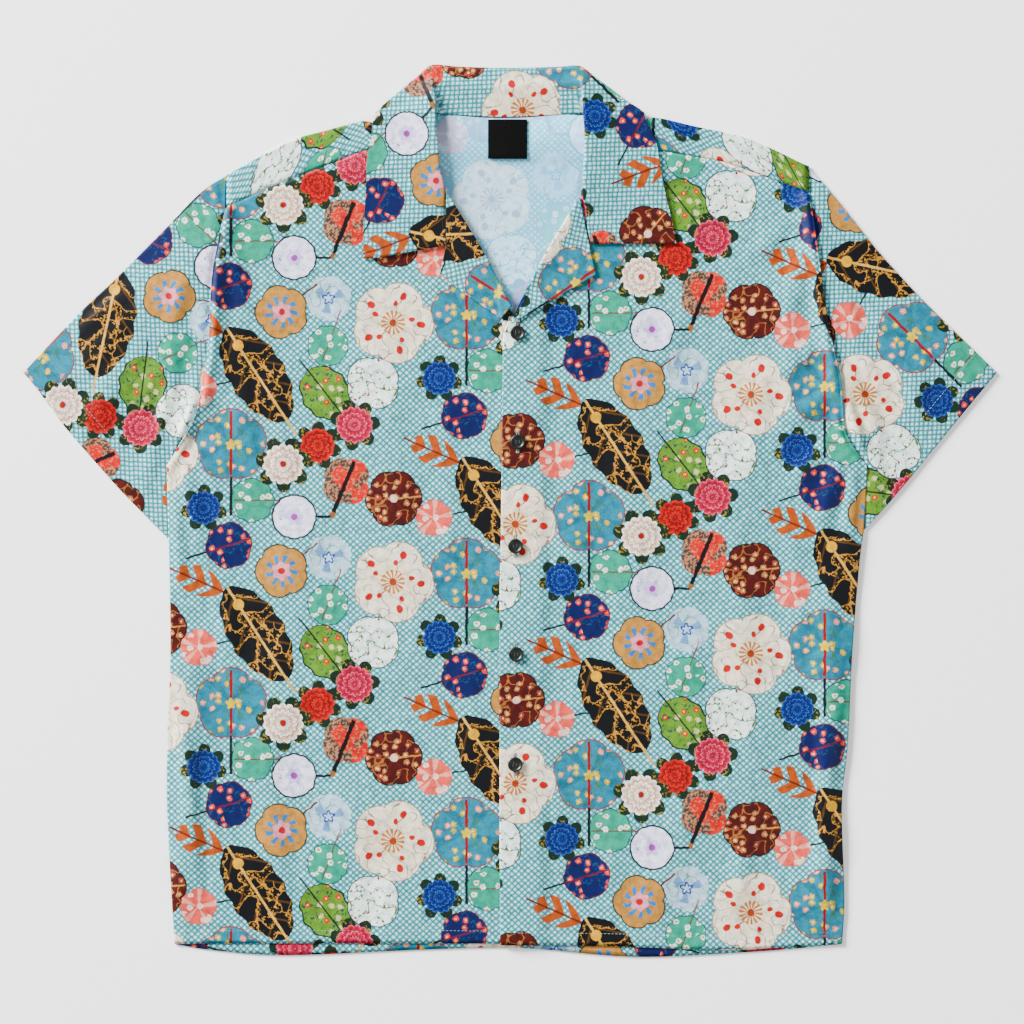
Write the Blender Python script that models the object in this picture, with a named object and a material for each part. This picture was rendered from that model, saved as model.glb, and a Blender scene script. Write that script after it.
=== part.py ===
# A camp-collar shirt laid flat, front up. Sizes are millimetres from the middle of the shirt: x to the
# viewer's right, y towards the collar, z up from the surface. Left and right are the wearer's in names
# of pieces, and the viewer's in names of edges.

import math
from collections import namedtuple

import bmesh
import bpy
from mathutils import Vector

MM = 0.001
CLOTH = 1.2  # wall of every cloth piece
SEAM_GAP = 0.3  # between two pieces that are sewn or lie together
LAYER = CLOTH + SEAM_GAP
BOTTOM = CLOTH / 2  # middle of the cloth that lies on the surface
LAPEL_GAP = 0.7  # between the collar, the facings and the front edges at the roll line
FOLD_INSET = LAYER / 2 + CLOTH / 2  # from a flat fold's outline in to where its two layers part
ROLL_ROOM = CLOTH / 2 + LAPEL_GAP  # from the roll line to the front panel's neck edge
FOLD_LIMIT = 3.2  # the highest that a soft fold lifts the upper cloth

# The fall of the collar lies under the back here, and lifts what is on top of it.
FALL_LOW, FALL_WIDE = 306.0, 123.0
FALL_RAMP_Y, FALL_RAMP_X = 14.0, 30.0

UNDER_EDGE = 19.0  # x of the right front's edge, hidden under the left front
OVERLAP_RAMP = 12.0
OVERLAP_TOP = 175.0

SIDE_ROWS, ARM_ROWS = 15, 10
FRONT_SHARES = (0, 0.05, 0.105, 0.146, 0.22, 0.3, 0.38, 0.46, 0.54, 0.62, 0.7, 0.78, 0.86, 0.94, 1)
NECK_ROWS, NECK_COLUMNS = 7, 6
SLEEVE_ROWS = 10

BUTTON_RADIUS, BUTTON_SEGMENTS = 6.35, 20
BUTTON_HOLE_RADIUS, BUTTON_HOLE_OFFSET = 0.8, 1.35
LABEL_LOW, LABEL_HIGH = (-18.7, 299.5), (14.5, 333.0)
LABEL_CLOTH = 0.8

# The body's sides from the hem to the underarm.
Side = namedtuple("Side", "y left right")
SIDES = (
    Side(-367.5, -285.0, 282.0),
    Side(-328.0, -287.3, 284.0),
    Side(-250.0, -291.3, 281.8),
    Side(-197.0, -291.0, 287.0),
    Side(-119.0, -288.4, 290.7),
    Side(-45.0, -289.4, 296.7),
    Side(-10.0, -290.3, 301.0),
    Side(39.0, -291.5, 303.5),
)

# The armhole seams from the underarm to the forward shoulder seam.
Armhole = namedtuple("Armhole", "left_x left_y right_x right_y")
ARMHOLES = (
    Armhole(-291.5, 39.0, 303.5, 39.0),
    Armhole(-273.7, 65.9, 285.5, 63.0),
    Armhole(-264.5, 86.0, 281.5, 90.0),
    Armhole(-259.0, 116.0, 279.0, 116.0),
    Armhole(-254.5, 145.0, 270.3, 153.4),
    Armhole(-252.0, 196.8, 264.4, 190.0),
    Armhole(-246.0, 232.0, 258.4, 234.2),
    Armhole(-241.4, 258.8, 253.8, 271.0),
)

# The shoulders from the neck out to the armhole: the fold at the top of the flat shirt, and the seam
# where the back, come over the shoulder, meets the front.
Shoulder = namedtuple("Shoulder", "x fold seam")
SHOULDER_LEFT = (
    Shoulder(-66.0, 336.0, 330.0),
    Shoulder(-112.0, 330.0, 311.0),
    Shoulder(-124.0, 332.3, 306.6),
    Shoulder(-150.0, 325.3, 297.2),
    Shoulder(-180.0, 317.8, 285.0),
    Shoulder(-207.4, 304.7, 274.2),
    Shoulder(-239.5, 286.9, 259.6),
)
SHOULDER_RIGHT = (
    Shoulder(66.0, 336.0, 318.0),
    Shoulder(108.0, 331.0, 309.4),
    Shoulder(122.0, 335.2, 307.4),
    Shoulder(150.0, 328.8, 303.0),
    Shoulder(180.0, 323.0, 297.6),
    Shoulder(207.4, 315.3, 288.2),
    Shoulder(252.8, 294.0, 271.8),
)

# The sleeves' outer fold from the shoulder to the hem, the hem from there to the underarm fold, and the
# point where that fold meets the body.
SLEEVE_TOP_LEFT = ((-240.6, 286.2), (-263.5, 270.7), (-295.0, 238.4), (-337.5, 195.9), (-363.8, 171.3),
                   (-414.0, 118.6))
SLEEVE_TOP_RIGHT = ((253.9, 293.2), (278.0, 264.8), (300.9, 235.9), (317.1, 216.3), (353.6, 177.2),
                    (414.0, 118.6))
CUFF_LEFT = ((-414.0, 118.6), (-401.2, 103.3), (-377.4, 71.0), (-343.4, 31.9), (-326.4, 13.2),
             (-291.9, -21.7))
CUFF_RIGHT = ((414.0, 118.6), (373.0, 69.0), (331.5, 18.3), (303.4, -13.2))
UNDERARM_LEFT = (-294.4, 41.0)
UNDERARM_RIGHT = (304.6, 39.8)

FRONT_HEM_LEFT = ((-285.0, -367.5), (-226.0, -366.8), (-65.0, -366.8), (UNDER_EDGE, -367.5))
FRONT_HEM_RIGHT = ((-8.5, -368.3), (90.0, -369.5), (180.0, -372.6), (225.0, -370.6), (282.0, -367.5))
BACK_HEM = ((-285.0, -367.5), (-250.0, -373.0), (-187.9, -377.0), (-65.5, -372.0), (10.0, -371.0),
            (106.3, -378.4), (202.3, -374.4), (262.0, -369.5), (282.0, -367.5))

# The edge over which collar and lapel turn, from the V up to the back of the neck.
ROLL_LEFT = ((1.0, 172.0), (-20.4, 215.5), (-38.3, 245.2), (-52.7, 267.3), (-57.8, 281.8), (-61.2, 296.2),
             (-63.0, 316.0), (-63.8, 333.0))
ROLL_RIGHT = ((4.5, 168.5), (15.3, 190.5), (30.6, 219.0), (46.8, 246.1), (58.9, 266.5), (62.6, 280.0),
              (64.6, 310.7), (63.6, 333.0))
NECK_SEAM = ((-66.0, 336.0), (-45.0, 336.2), (-18.0, 334.2), (14.5, 334.6), (45.0, 337.0), (66.0, 336.0))
PLACKET_EDGE = ((-8.5, -368.3), (-8.9, -85.0), (-7.7, -16.6), (-6.0, 151.7), (-1.5, 161.5))

# The lapels' free edge from the gorge round the tip to the V.
Lapel = namedtuple("Lapel", "roll gorge lower roll_rows crest_rise")
LAPEL_LEFT = Lapel(
    roll=((-54.0, 270.3), (-38.3, 245.2), (-20.4, 215.5), (1.0, 174.0)),
    gorge=((-54.0, 270.3), (-54.2, 228.5), (-59.5, 201.5)),
    lower=((-59.5, 201.5), (-38.3, 184.9), (-7.5, 164.0)),
    roll_rows=9,
    crest_rise=2.4,
)
LAPEL_RIGHT = Lapel(
    roll=((58.9, 266.5), (46.8, 246.1), (30.6, 219.0), (15.3, 190.5), (4.5, 169.5)),
    gorge=((58.9, 266.5), (67.4, 226.6), (73.1, 201.0)),
    lower=((73.1, 201.0), (36.0, 179.5), (0.5, 158.5)),
    roll_rows=9,
    crest_rise=2.4,
)

# The collar, a row for each section round the neck, from the left tip to the right one. A section goes
# from the neck seam up the stand to the crest and down the fall. wrap is how far it then turns round its
# outer fold, in degrees, before the free edge: 180 where the fall lies under the back.
Collar = namedtuple("Collar", "seam seam_z crest crest_z over fold_z wrap edge")
COLLAR = (
    Collar((-54.9, 226.2), None, (-58.0, 225.5), None, (-111.0, 215.5), None, 0, (-125.0, 214.6)),
    Collar((-54.9, 249.0), None, (-58.5, 249.0), None, (-110.0, 246.0), None, 0, (-124.2, 245.0)),
    Collar((-55.2, 271.6), None, (-57.5, 272.6), 6.8, (-110.0, 271.5), None, 0, (-122.4, 271.5)),
    Collar((-61.2, 296.2), 3.0, (-61.2, 296.6), 8.2, (-109.0, 298.0), None, 0, (-121.4, 298.8)),
    Collar((-63.0, 316.0), 3.0, (-62.9, 316.4), 8.6, (-106.0, 317.0), None, 0, (-117.8, 317.0)),
    Collar((-63.6, 326.0), 3.0, (-63.5, 326.6), 8.6, (-104.0, 330.5), None, 0, (-116.4, 331.8)),
    Collar((-63.8, 332.0), 3.0, (-63.8, 334.0), 8.6, (-116.2, 337.3), 5.2, 100, None),
    Collar((-63.6, 338.3), 2.6, (-64.4, 345.0), 8.2, (-104.0, 348.6), 3.9, 180, (-101.0, 334.5)),
    Collar((-62.4, 339.0), 2.3, (-65.0, 355.0), 7.6, (-92.0, 358.9), 3.4, 180, (-94.0, 327.5)),
    Collar((-60.8, 338.9), 2.1, (-65.6, 364.0), 6.6, (-79.0, 369.2), 3.2, 180, (-84.0, 321.0)),
    Collar((-58.4, 338.3), 2.1, (-61.5, 364.0), 5.4, (-66.4, 378.4), 3.2, 180, (-72.0, 315.5)),
    Collar((-42.0, 336.9), 2.1, (-42.5, 362.0), 4.6, (-43.0, 377.0), 3.6, 180, (-43.5, 312.0)),
    Collar((-4.0, 335.0), 2.1, (-4.0, 360.0), 4.4, (-4.0, 375.9), 3.6, 180, (-4.0, 310.5)),
    Collar((38.0, 336.9), 2.1, (38.5, 362.0), 4.6, (39.0, 376.8), 3.6, 180, (40.5, 312.0)),
    Collar((57.6, 338.3), 2.1, (57.5, 364.0), 5.4, (59.5, 377.6), 3.2, 180, (68.0, 315.5)),
    Collar((60.0, 338.9), 2.1, (61.0, 362.0), 6.6, (73.0, 368.4), 3.2, 180, (80.0, 320.5)),
    Collar((61.6, 339.0), 2.3, (62.0, 353.0), 7.6, (87.0, 358.4), 3.4, 180, (90.0, 327.5)),
    Collar((62.8, 338.3), 2.6, (62.9, 344.0), 8.2, (100.0, 348.2), 3.9, 180, (98.0, 334.8)),
    Collar((63.6, 332.0), 3.0, (63.6, 334.0), 8.6, (113.2, 339.4), 5.2, 100, None),
    Collar((64.1, 326.0), 3.0, (64.1, 326.6), 8.6, (104.0, 331.0), None, 0, (115.2, 332.2)),
    Collar((64.6, 311.0), 3.0, (64.6, 312.0), 8.6, (112.5, 313.5), None, 0, (124.1, 313.0)),
    Collar((63.7, 291.0), 3.0, (63.9, 292.0), 8.2, (115.5, 293.0), None, 0, (127.5, 292.5)),
    Collar((60.6, 269.2), None, (63.4, 270.2), 6.8, (120.0, 269.0), None, 0, (132.2, 268.5)),
    Collar((64.2, 249.0), None, (68.5, 249.0), None, (123.5, 247.5), None, 0, (137.5, 247.0)),
    Collar((68.4, 227.6), None, (72.0, 227.5), None, (126.0, 227.4), None, 0, (141.1, 227.4)),
)

# Soft folds in the upper cloth: a ridge along a line, with its height and half-width.
Fold = namedtuple("Fold", "x1 y1 x2 y2 height width")
FOLDS = (
    Fold(-241, 250, -256, 105, 2.3, 13),
    Fold(-262, 95, -276, 68, 1.8, 12),
    Fold(-262, 215, -352, 85, 1.3, 26),
    Fold(-300, 190, -380, 105, 1.0, 22),
    Fold(-233, 170, -222, 60, 1.0, 18),
    Fold(254, 262, 277, 112, 2.6, 13),
    Fold(279, 104, 296, 60, 2.6, 10),
    Fold(283, 215, 350, 95, 1.3, 26),
    Fold(322, 190, 385, 110, 1.0, 22),
    Fold(238, 180, 236, 60, 1.0, 18),
    Fold(-272, -130, -268, -330, 1.5, 17),
    Fold(-180, -20, -215, -300, 0.9, 28),
    Fold(-110, 120, -75, -120, 0.9, 26),
    Fold(272, -60, 262, -330, 1.7, 15),
    Fold(190, 40, 205, -250, 0.9, 28),
    Fold(110, 150, 95, -140, 0.9, 28),
    Fold(-90, -340, -150, -250, 0.8, 20),
    Fold(120, -345, 150, -240, 0.8, 20),
)

Button = namedtuple("Button", "x y")
BUTTONS = (
    Button(6.4, 151.7),
    Button(6.6, 59.1),
    Button(4.5, -29.3),
    Button(5.1, -121.1),
    Button(4.4, -214.6),
)
# A button's section from the middle of its flat underside round the rim to the middle of its dish.
Turning = namedtuple("Turning", "radius height")
BUTTON_SECTION = (
    Turning(0.0, 0.0),
    Turning(5.3, 0.0),
    Turning(6.1, 0.6),
    Turning(6.35, 1.3),
    Turning(6.1, 2.1),
    Turning(5.3, 2.5),
    Turning(4.5, 2.2),
    Turning(3.9, 1.6),
    Turning(0.0, 1.6),
)

Finish = namedtuple("Finish", "colour roughness metallic")
PRINTED_CLOTH = Finish((0.42, 0.62, 0.62), 0.62, 0.0)
LABEL_WEAVE = Finish((0.02, 0.02, 0.025), 0.7, 0.0)
BUTTON_RESIN = Finish((0.055, 0.06, 0.05), 0.25, 0.0)


def ease(t):
    t = min(max(t, 0.0), 1.0)
    return t * t * (3 - 2 * t)


def mix(a, b, t):
    return tuple(p + (q - p) * t for p, q in zip(a, b))


def smooth_line(points, steps=8):
    """A Catmull-Rom curve through the points, as a fine polyline."""
    line = []
    last = len(points) - 1
    for i in range(last):
        a, b = points[max(i - 1, 0)], points[i]
        c, d = points[i + 1], points[min(i + 2, last)]
        for s in range(steps):
            t = s / steps
            line.append(tuple(
                0.5 * (2 * q + (r - p) * t + (2 * p - 5 * q + 4 * r - w) * t ** 2
                       + (3 * q - p - 3 * r + w) * t ** 3)
                for p, q, r, w in zip(a, b, c, d)
            ))
    line.append(tuple(points[last]))
    return line


def along(line, share):
    """The point at this share of the line's length."""
    lengths = [math.dist(a, b) for a, b in zip(line, line[1:])]
    left = share * sum(lengths)
    for (a, b), length in zip(zip(line, line[1:]), lengths):
        if left <= length and length > 0:
            return mix(a, b, left / length)
        left -= length
    return tuple(line[-1])


def edge(points, count):
    """count + 1 points evenly along the curve through the points."""
    line = smooth_line(points)
    return [along(line, i / count) for i in range(count + 1)]


def beside(points, distance):
    """The line moved sideways, to the left of its direction for a positive distance."""
    moved = []
    for i, (x, y) in enumerate(points):
        before, after = points[max(i - 1, 0)], points[min(i + 1, len(points) - 1)]
        dx, dy = after[0] - before[0], after[1] - before[1]
        length = math.hypot(dx, dy)
        moved.append((x - dy / length * distance, y + dx / length * distance))
    return moved


def patch(low, high, left, right, shares=None):
    """A Coons patch: rows of points between left and right, whose ends follow low and high."""
    rows = []
    shares = shares or [i / (len(low) - 1) for i in range(len(low))]
    for j, (start, end) in enumerate(zip(left, right)):
        v = j / (len(left) - 1)
        row = []
        for i, u in enumerate(shares):
            row.append(tuple(
                (1 - v) * low[i][k] + v * high[i][k] + (1 - u) * start[k] + u * end[k]
                - (1 - u) * (1 - v) * low[0][k] - u * (1 - v) * low[-1][k]
                - (1 - u) * v * high[0][k] - u * v * high[-1][k]
                for k in range(2)
            ))
        rows.append(row)
    return rows


def spread(points, shares):
    """Points along the curve at the shares of its length."""
    line = smooth_line(points)
    return [along(line, u) for u in shares]


def fall_raise(x, y, wider=0.0):
    """How far the fall of the collar lifts the cloth on it."""
    up = ease((y - FALL_LOW + FALL_RAMP_Y + wider) / FALL_RAMP_Y)
    across = ease((FALL_WIDE + FALL_RAMP_X + wider - abs(x)) / FALL_RAMP_X)
    return LAYER * up * across


def swell(x, y):
    """The soft folds' height at a point."""
    total = 0.0
    for fold in FOLDS:
        dx, dy = fold.x2 - fold.x1, fold.y2 - fold.y1
        t = ((x - fold.x1) * dx + (y - fold.y1) * dy) / (dx * dx + dy * dy)
        t = min(max(t, 0.0), 1.0)
        off = math.hypot(x - fold.x1 - t * dx, y - fold.y1 - t * dy)
        total += fold.height * math.exp(-((off / fold.width) ** 2))
    return min(total, FOLD_LIMIT)


def back_middle(x, y):
    return BOTTOM + fall_raise(x, y)


def upper_middle(x, y):
    """The middle of the upper cloth's wall, where it lies on the back."""
    return BOTTOM + LAYER + fall_raise(x, y, wider=16.0) + swell(x, y)


def overlap_raise(x, y):
    """How far the right front lifts the left one, which buttons over it."""
    across = 1 - ease((x - UNDER_EDGE - 5) / OVERLAP_RAMP)
    return (LAYER + 0.2) * across * (1 - ease((y - OVERLAP_TOP) / 25))


def left_front_middle(x, y):
    return upper_middle(x, y) + overlap_raise(x, y)


def leaf_middle(x, y):
    """The middle of collar or lapel, where it lies on a front."""
    front = left_front_middle(x, y) if x > -9 else upper_middle(x, y)
    return front + LAYER + 0.3


def material(name, finish):
    made = bpy.data.materials.new(name)
    made.use_nodes = True
    shader = made.node_tree.nodes["Principled BSDF"]
    shader.inputs["Base Color"].default_value = (*finish.colour, 1)
    shader.inputs["Roughness"].default_value = finish.roughness
    shader.inputs["Metallic"].default_value = finish.metallic
    return made


def add_object(name, bm, finish):
    mesh = bpy.data.meshes.new(name)
    bm.to_mesh(mesh)
    bm.free()
    mesh.shade_smooth()
    made = bpy.data.objects.new(name, mesh)
    bpy.context.collection.objects.link(made)
    mesh.materials.append(material(name, finish))
    return made


def wall(name, rows, finish, thickness=CLOTH, closed=False, leave_out=()):
    """A wall round rows of middle points. closed joins each row's ends, and leave_out lists cells."""
    columns = len(rows[0]) - 1
    bm = bmesh.new()
    bmesh.ops.create_grid(bm, x_segments=columns, y_segments=len(rows) - 1, size=1)
    for vert in bm.verts:
        i = round((vert.co.x + 1) / 2 * columns)
        j = round((vert.co.y + 1) / 2 * (len(rows) - 1))
        vert.co = Vector(rows[j][i]) * MM
        vert.index = j * (columns + 1) + i
    cells = {}
    for face in bm.faces:
        corner = min(vert.index for vert in face.verts)
        cells[divmod(corner, columns + 1)] = face
    if leave_out:
        bmesh.ops.delete(bm, geom=[cells[cell] for cell in leave_out], context="FACES")
    if closed:
        bmesh.ops.remove_doubles(bm, verts=bm.verts, dist=1e-6)
    made = add_object(name, bm, finish)
    solidify = made.modifiers.new("Cloth", "SOLIDIFY")
    solidify.thickness = thickness * MM
    solidify.offset = 0
    return made


def half_turn(inside, low, high, outward):
    """Three points of the round fold that joins two layers whose middles are low and high."""
    radius = (high - low) / 2
    points = []
    for degrees in (45, 90, 135):
        angle = math.radians(degrees)
        out = radius * math.sin(angle)
        points.append((
            inside[0] + outward[0] * out,
            inside[1] + outward[1] * out,
            low + radius - radius * math.cos(angle),
        ))
    return points


def side_and_armhole(which):
    side = [(row.left if which == "left" else row.right, row.y) for row in SIDES]
    arm = [
        (row.left_x, row.left_y) if which == "left" else (row.right_x, row.right_y)
        for row in ARMHOLES
    ]
    return edge(side, SIDE_ROWS)[:-1] + edge(arm, ARM_ROWS)


def back():
    """The back panel, its shoulders folded over to the front."""
    left_shoulder = [(row.x, row.fold - FOLD_INSET) for row in SHOULDER_LEFT]
    right_shoulder = [(row.x, row.fold - FOLD_INSET) for row in SHOULDER_RIGHT]
    shoulder_columns = len(SHOULDER_LEFT) - 1
    columns = 2 * shoulder_columns + NECK_COLUMNS
    neck = edge(NECK_SEAM, NECK_COLUMNS)
    neck[0], neck[-1] = left_shoulder[0], right_shoulder[0]
    top = left_shoulder[::-1] + neck[1:-1] + right_shoulder
    neck_start, neck_end = shoulder_columns, shoulder_columns + NECK_COLUMNS
    left_up = side_and_armhole("left") + [top[0]]
    right_up = side_and_armhole("right") + [top[-1]]
    flat = patch(edge(BACK_HEM, columns), top, left_up, right_up)
    rows = [[(x, y, back_middle(x, y)) for x, y in row] for row in flat]

    seams = {neck_start - i: (row.x, row.seam) for i, row in enumerate(SHOULDER_LEFT)}
    seams.update({neck_end + i: (row.x, row.seam) for i, row in enumerate(SHOULDER_RIGHT)})
    turn_rows = [[], [], []]
    over_rows = [[], [], []]
    for i in range(columns + 1):
        fold = top[i]
        seam = seams.get(i, fold)
        low, high = back_middle(*fold), upper_middle(*fold)
        for row, point in zip(turn_rows, half_turn(fold, low, high, (0, 1))):
            row.append(point)
        for row, share in zip(over_rows, (0, 0.5, 1)):
            x, y = mix(fold, seam, share)
            row.append((x, y, upper_middle(x, y) if share else high))
    rows += turn_rows + over_rows
    first = len(flat) - 1
    neck_cells = [(j, i) for j in range(first, len(rows) - 1) for i in range(neck_start, neck_end)]
    return wall("back", rows, PRINTED_CLOTH, leave_out=neck_cells)


def front(which):
    """A front panel from the hem up to the forward shoulder seam."""
    right = which == "right"
    shoulder = [(row.x, row.seam - 2 * SEAM_GAP) for row in (SHOULDER_LEFT if right else SHOULDER_RIGHT)]
    if right:
        placket = [(UNDER_EDGE, -367.5), (UNDER_EDGE, 140.0), (10.0, 158.0)]
        neck = beside(ROLL_LEFT, ROLL_ROOM)
        hem, outer = FRONT_HEM_LEFT[::-1], side_and_armhole("left")
    else:
        placket = PLACKET_EDGE
        neck = beside(ROLL_RIGHT, -ROLL_ROOM)
        hem, outer = FRONT_HEM_RIGHT, side_and_armhole("right")
    neck[-1] = shoulder[0]
    outer[-1] = shoulder[-1]
    inner = edge(placket, SIDE_ROWS + ARM_ROWS - NECK_ROWS - 1) + neck
    hem = spread(hem, FRONT_SHARES)
    hem[0], hem[-1] = inner[0], outer[0]
    flat = patch(hem, spread(shoulder, FRONT_SHARES), inner, outer, FRONT_SHARES)
    middle = upper_middle if right else left_front_middle
    rows = [[(x, y, middle(x, y)) for x, y in sorted(row)] for row in flat]
    return wall("front_" + which, rows, PRINTED_CLOTH)


def sleeve(which, top, cuff, corner, sign):
    """A flattened tube, open at the armhole and the hem. sign is +1 towards the viewer's right."""
    arm = beside(side_and_armhole("left" if sign < 0 else "right")[SIDE_ROWS:], -sign * 1.5 * SEAM_GAP)
    underarm = [arm[1], corner, cuff[-1]]
    armhole = arm[1:] + [mix(arm[-1], top[0], 0.5), top[0]]
    around = len(armhole) - 1
    starts = [along(underarm, i / SLEEVE_ROWS) for i in range(SLEEVE_ROWS + 1)]
    rows = []
    for row in patch(armhole, edge(cuff[::-1], around), starts, edge(top, SLEEVE_ROWS)):
        start, end = Vector(row[0]), Vector(row[-1])
        across = (end - start).normalized()
        row = [tuple(start + across * FOLD_INSET)] + row[1:-1] + [tuple(end - across * FOLD_INSET)]
        upper = [(x, y, upper_middle(x, y)) for x, y in row]
        upper[0] = (*row[0], BOTTOM + LAYER)
        upper[-1] = (*row[-1], BOTTOM + LAYER)
        lower = [(x, y, BOTTOM) for x, y in row[::-1]]
        outer_fold = half_turn(row[-1], BOTTOM, BOTTOM + LAYER, across)[::-1]
        inner_fold = half_turn(row[0], BOTTOM, BOTTOM + LAYER, -across)
        rows.append(upper + outer_fold + lower + inner_fold + upper[:1])
    return wall("sleeve_" + which, rows, PRINTED_CLOTH, closed=True)


def collar_section(section):
    """One section's points: three steps up the stand, three to the fold, and five to the free edge."""
    crest = (*section.crest, section.crest_z or leaf_middle(*section.crest))
    seam = (*section.seam, section.seam_z or leaf_middle(*section.seam))
    if section.wrap:
        inward = (Vector(section.crest) - Vector(section.over)).normalized()
        radius = (section.fold_z - BOTTOM) / 2
        turning = Vector(section.over) + inward * (radius + CLOTH / 2)
        fold = (*turning, section.fold_z)
    else:
        fold = (*section.over, leaf_middle(*section.over))
    points = [mix(seam, crest, s) for s in (0, 1 / 3, 2 / 3)]
    for s in (0, 1 / 3, 2 / 3):
        x, y, z = mix(crest, fold, s)
        points.append((x, y, crest[2] + (fold[2] - crest[2]) * ease(s ** 0.7)))
    points.append(fold)
    if not section.wrap:
        for s in (0.2, 0.4, 0.6, 0.8, 1):
            x, y = mix(section.over, section.edge, s)
            points.append((x, y, leaf_middle(x, y)))
        return points
    turns = (0.33, 0.66, 1) if section.edge else (0.2, 0.4, 0.6, 0.8, 1)
    for share in turns:
        angle = math.radians(section.wrap * share)
        x, y = turning - inward * radius * math.sin(angle)
        points.append((x, y, BOTTOM + radius + radius * math.cos(angle)))
    if section.edge:
        x, y, z = points[-1]
        points += [(*mix((x, y), section.edge, s), BOTTOM) for s in (0.5, 1)]
    return points


def collar():
    return wall("collar", [collar_section(section) for section in COLLAR], PRINTED_CLOTH)


def facing(which, lapel, middle):
    """A front's turned-out corner: a low wall up the roll line, and the lapel lying on the front."""
    count = lapel.roll_rows
    across = 6
    roll = edge(lapel.roll, count)
    lower = edge(lapel.lower, count)
    first = [along(list(lapel.gorge), i / across) for i in range(across + 1)]
    last = [mix(roll[-1], lower[-1], i / across) for i in range(across + 1)]
    rows = []
    for j, row in enumerate(patch(first, last, roll, lower)):
        x, y = row[0]
        start = middle(x, y) - CLOTH / 2
        crest = leaf_middle(x, y) + lapel.crest_rise * (1 - 0.75 * j / count)
        points = [(x, y, start), (x, y, (start + crest) / 2), (x, y, crest)]
        for i in range(1, across + 1):
            px, py = row[i]
            rise = (crest - leaf_middle(x, y)) * (1 - ease(i / 3))
            points.append((px, py, leaf_middle(px, py) + rise))
        rows.append(points)
    return wall("facing_" + which, rows, PRINTED_CLOTH)


def neck_label():
    """The label, made from the back's points and moved out."""
    rows = []
    count = 5
    out = CLOTH / 2 + SEAM_GAP + LABEL_CLOTH / 2
    for j in range(count + 1):
        row = []
        for i in range(count + 1):
            x = LABEL_LOW[0] + (LABEL_HIGH[0] - LABEL_LOW[0]) * i / count
            y = LABEL_LOW[1] + (LABEL_HIGH[1] - LABEL_LOW[1]) * j / count
            row.append((x, y, back_middle(x, y) + out))
        rows.append(row)
    return wall("neck_label", rows, LABEL_WEAVE, thickness=LABEL_CLOTH)


def button_mesh():
    bm = bmesh.new()
    verts = [bm.verts.new((point.radius * MM, 0, point.height * MM)) for point in BUTTON_SECTION]
    edges = [bm.edges.new(pair) for pair in zip(verts, verts[1:])]
    bmesh.ops.spin(
        bm, geom=verts + edges, cent=(0, 0, 0), axis=(0, 0, 1), angle=2 * math.pi,
        steps=BUTTON_SEGMENTS, use_merge=True,
    )
    bmesh.ops.remove_doubles(bm, verts=bm.verts, dist=1e-6)
    bmesh.ops.recalc_face_normals(bm, faces=bm.faces)
    return bm


def hole_cutter(location):
    """Four thread holes, cut out of the button at this place."""
    bm = bmesh.new()
    for x in (-BUTTON_HOLE_OFFSET, BUTTON_HOLE_OFFSET):
        for y in (-BUTTON_HOLE_OFFSET, BUTTON_HOLE_OFFSET):
            made = bmesh.ops.create_cone(
                bm, cap_ends=True, segments=8, radius1=BUTTON_HOLE_RADIUS * MM,
                radius2=BUTTON_HOLE_RADIUS * MM, depth=6 * MM,
            )
            bmesh.ops.translate(bm, verts=made["verts"], vec=Vector((x, y, 1)) * MM)
    made = add_object("button_hole_cutter", bm, BUTTON_RESIN)
    made.location = location
    made.hide_render = True
    made.display_type = "WIRE"
    return made


def button(number, place):
    """A button on the left front, just clear of the cloth all round."""
    ring = [(place.x + BUTTON_RADIUS * math.cos(a), place.y + BUTTON_RADIUS * math.sin(a))
            for a in (k * math.pi / 4 for k in range(8))]
    top = max(left_front_middle(x, y) for x, y in ring + [(place.x, place.y)]) + CLOTH / 2
    made = add_object(f"button_{number}", button_mesh(), BUTTON_RESIN)
    made.data.set_sharp_from_angle(angle=math.radians(40))
    made.location = Vector((place.x, place.y, top + SEAM_GAP)) * MM
    holes = made.modifiers.new("Holes", "BOOLEAN")
    holes.object = hole_cutter(made.location)
    return made


def main():
    for old in list(bpy.data.objects):
        bpy.data.objects.remove(old)
    back()
    front("left")
    front("right")
    sleeve("left", SLEEVE_TOP_RIGHT, CUFF_RIGHT, UNDERARM_RIGHT, 1)
    sleeve("right", SLEEVE_TOP_LEFT, CUFF_LEFT, UNDERARM_LEFT, -1)
    collar()
    facing("right", LAPEL_LEFT, upper_middle)
    facing("left", LAPEL_RIGHT, left_front_middle)
    neck_label()
    for number, place in enumerate(BUTTONS, 1):
        button(number, place)


main()
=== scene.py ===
import math
from collections import namedtuple

import bmesh
import bpy
import numpy as np
from mathutils import Matrix, Vector


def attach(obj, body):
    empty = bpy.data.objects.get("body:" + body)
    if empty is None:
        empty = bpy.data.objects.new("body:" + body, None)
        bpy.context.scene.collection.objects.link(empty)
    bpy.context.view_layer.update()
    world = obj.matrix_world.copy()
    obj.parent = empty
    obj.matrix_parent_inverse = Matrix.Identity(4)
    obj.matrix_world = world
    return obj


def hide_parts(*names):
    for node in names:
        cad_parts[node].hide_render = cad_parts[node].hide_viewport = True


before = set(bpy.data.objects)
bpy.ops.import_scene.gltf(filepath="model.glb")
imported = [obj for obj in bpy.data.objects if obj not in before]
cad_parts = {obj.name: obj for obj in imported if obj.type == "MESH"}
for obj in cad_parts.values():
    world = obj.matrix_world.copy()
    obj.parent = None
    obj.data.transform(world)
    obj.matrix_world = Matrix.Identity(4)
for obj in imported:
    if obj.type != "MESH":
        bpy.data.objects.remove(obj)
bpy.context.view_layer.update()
print("frame loaded,", len(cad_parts), "nodes")

# A shirt laid flat, front up. Lengths are millimetres from its middle, x to the viewer's right, y towards
# the collar and z up. Left and right are the wearer's in names of pieces, the viewer's in names of edges.
mm = 0.001

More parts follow.
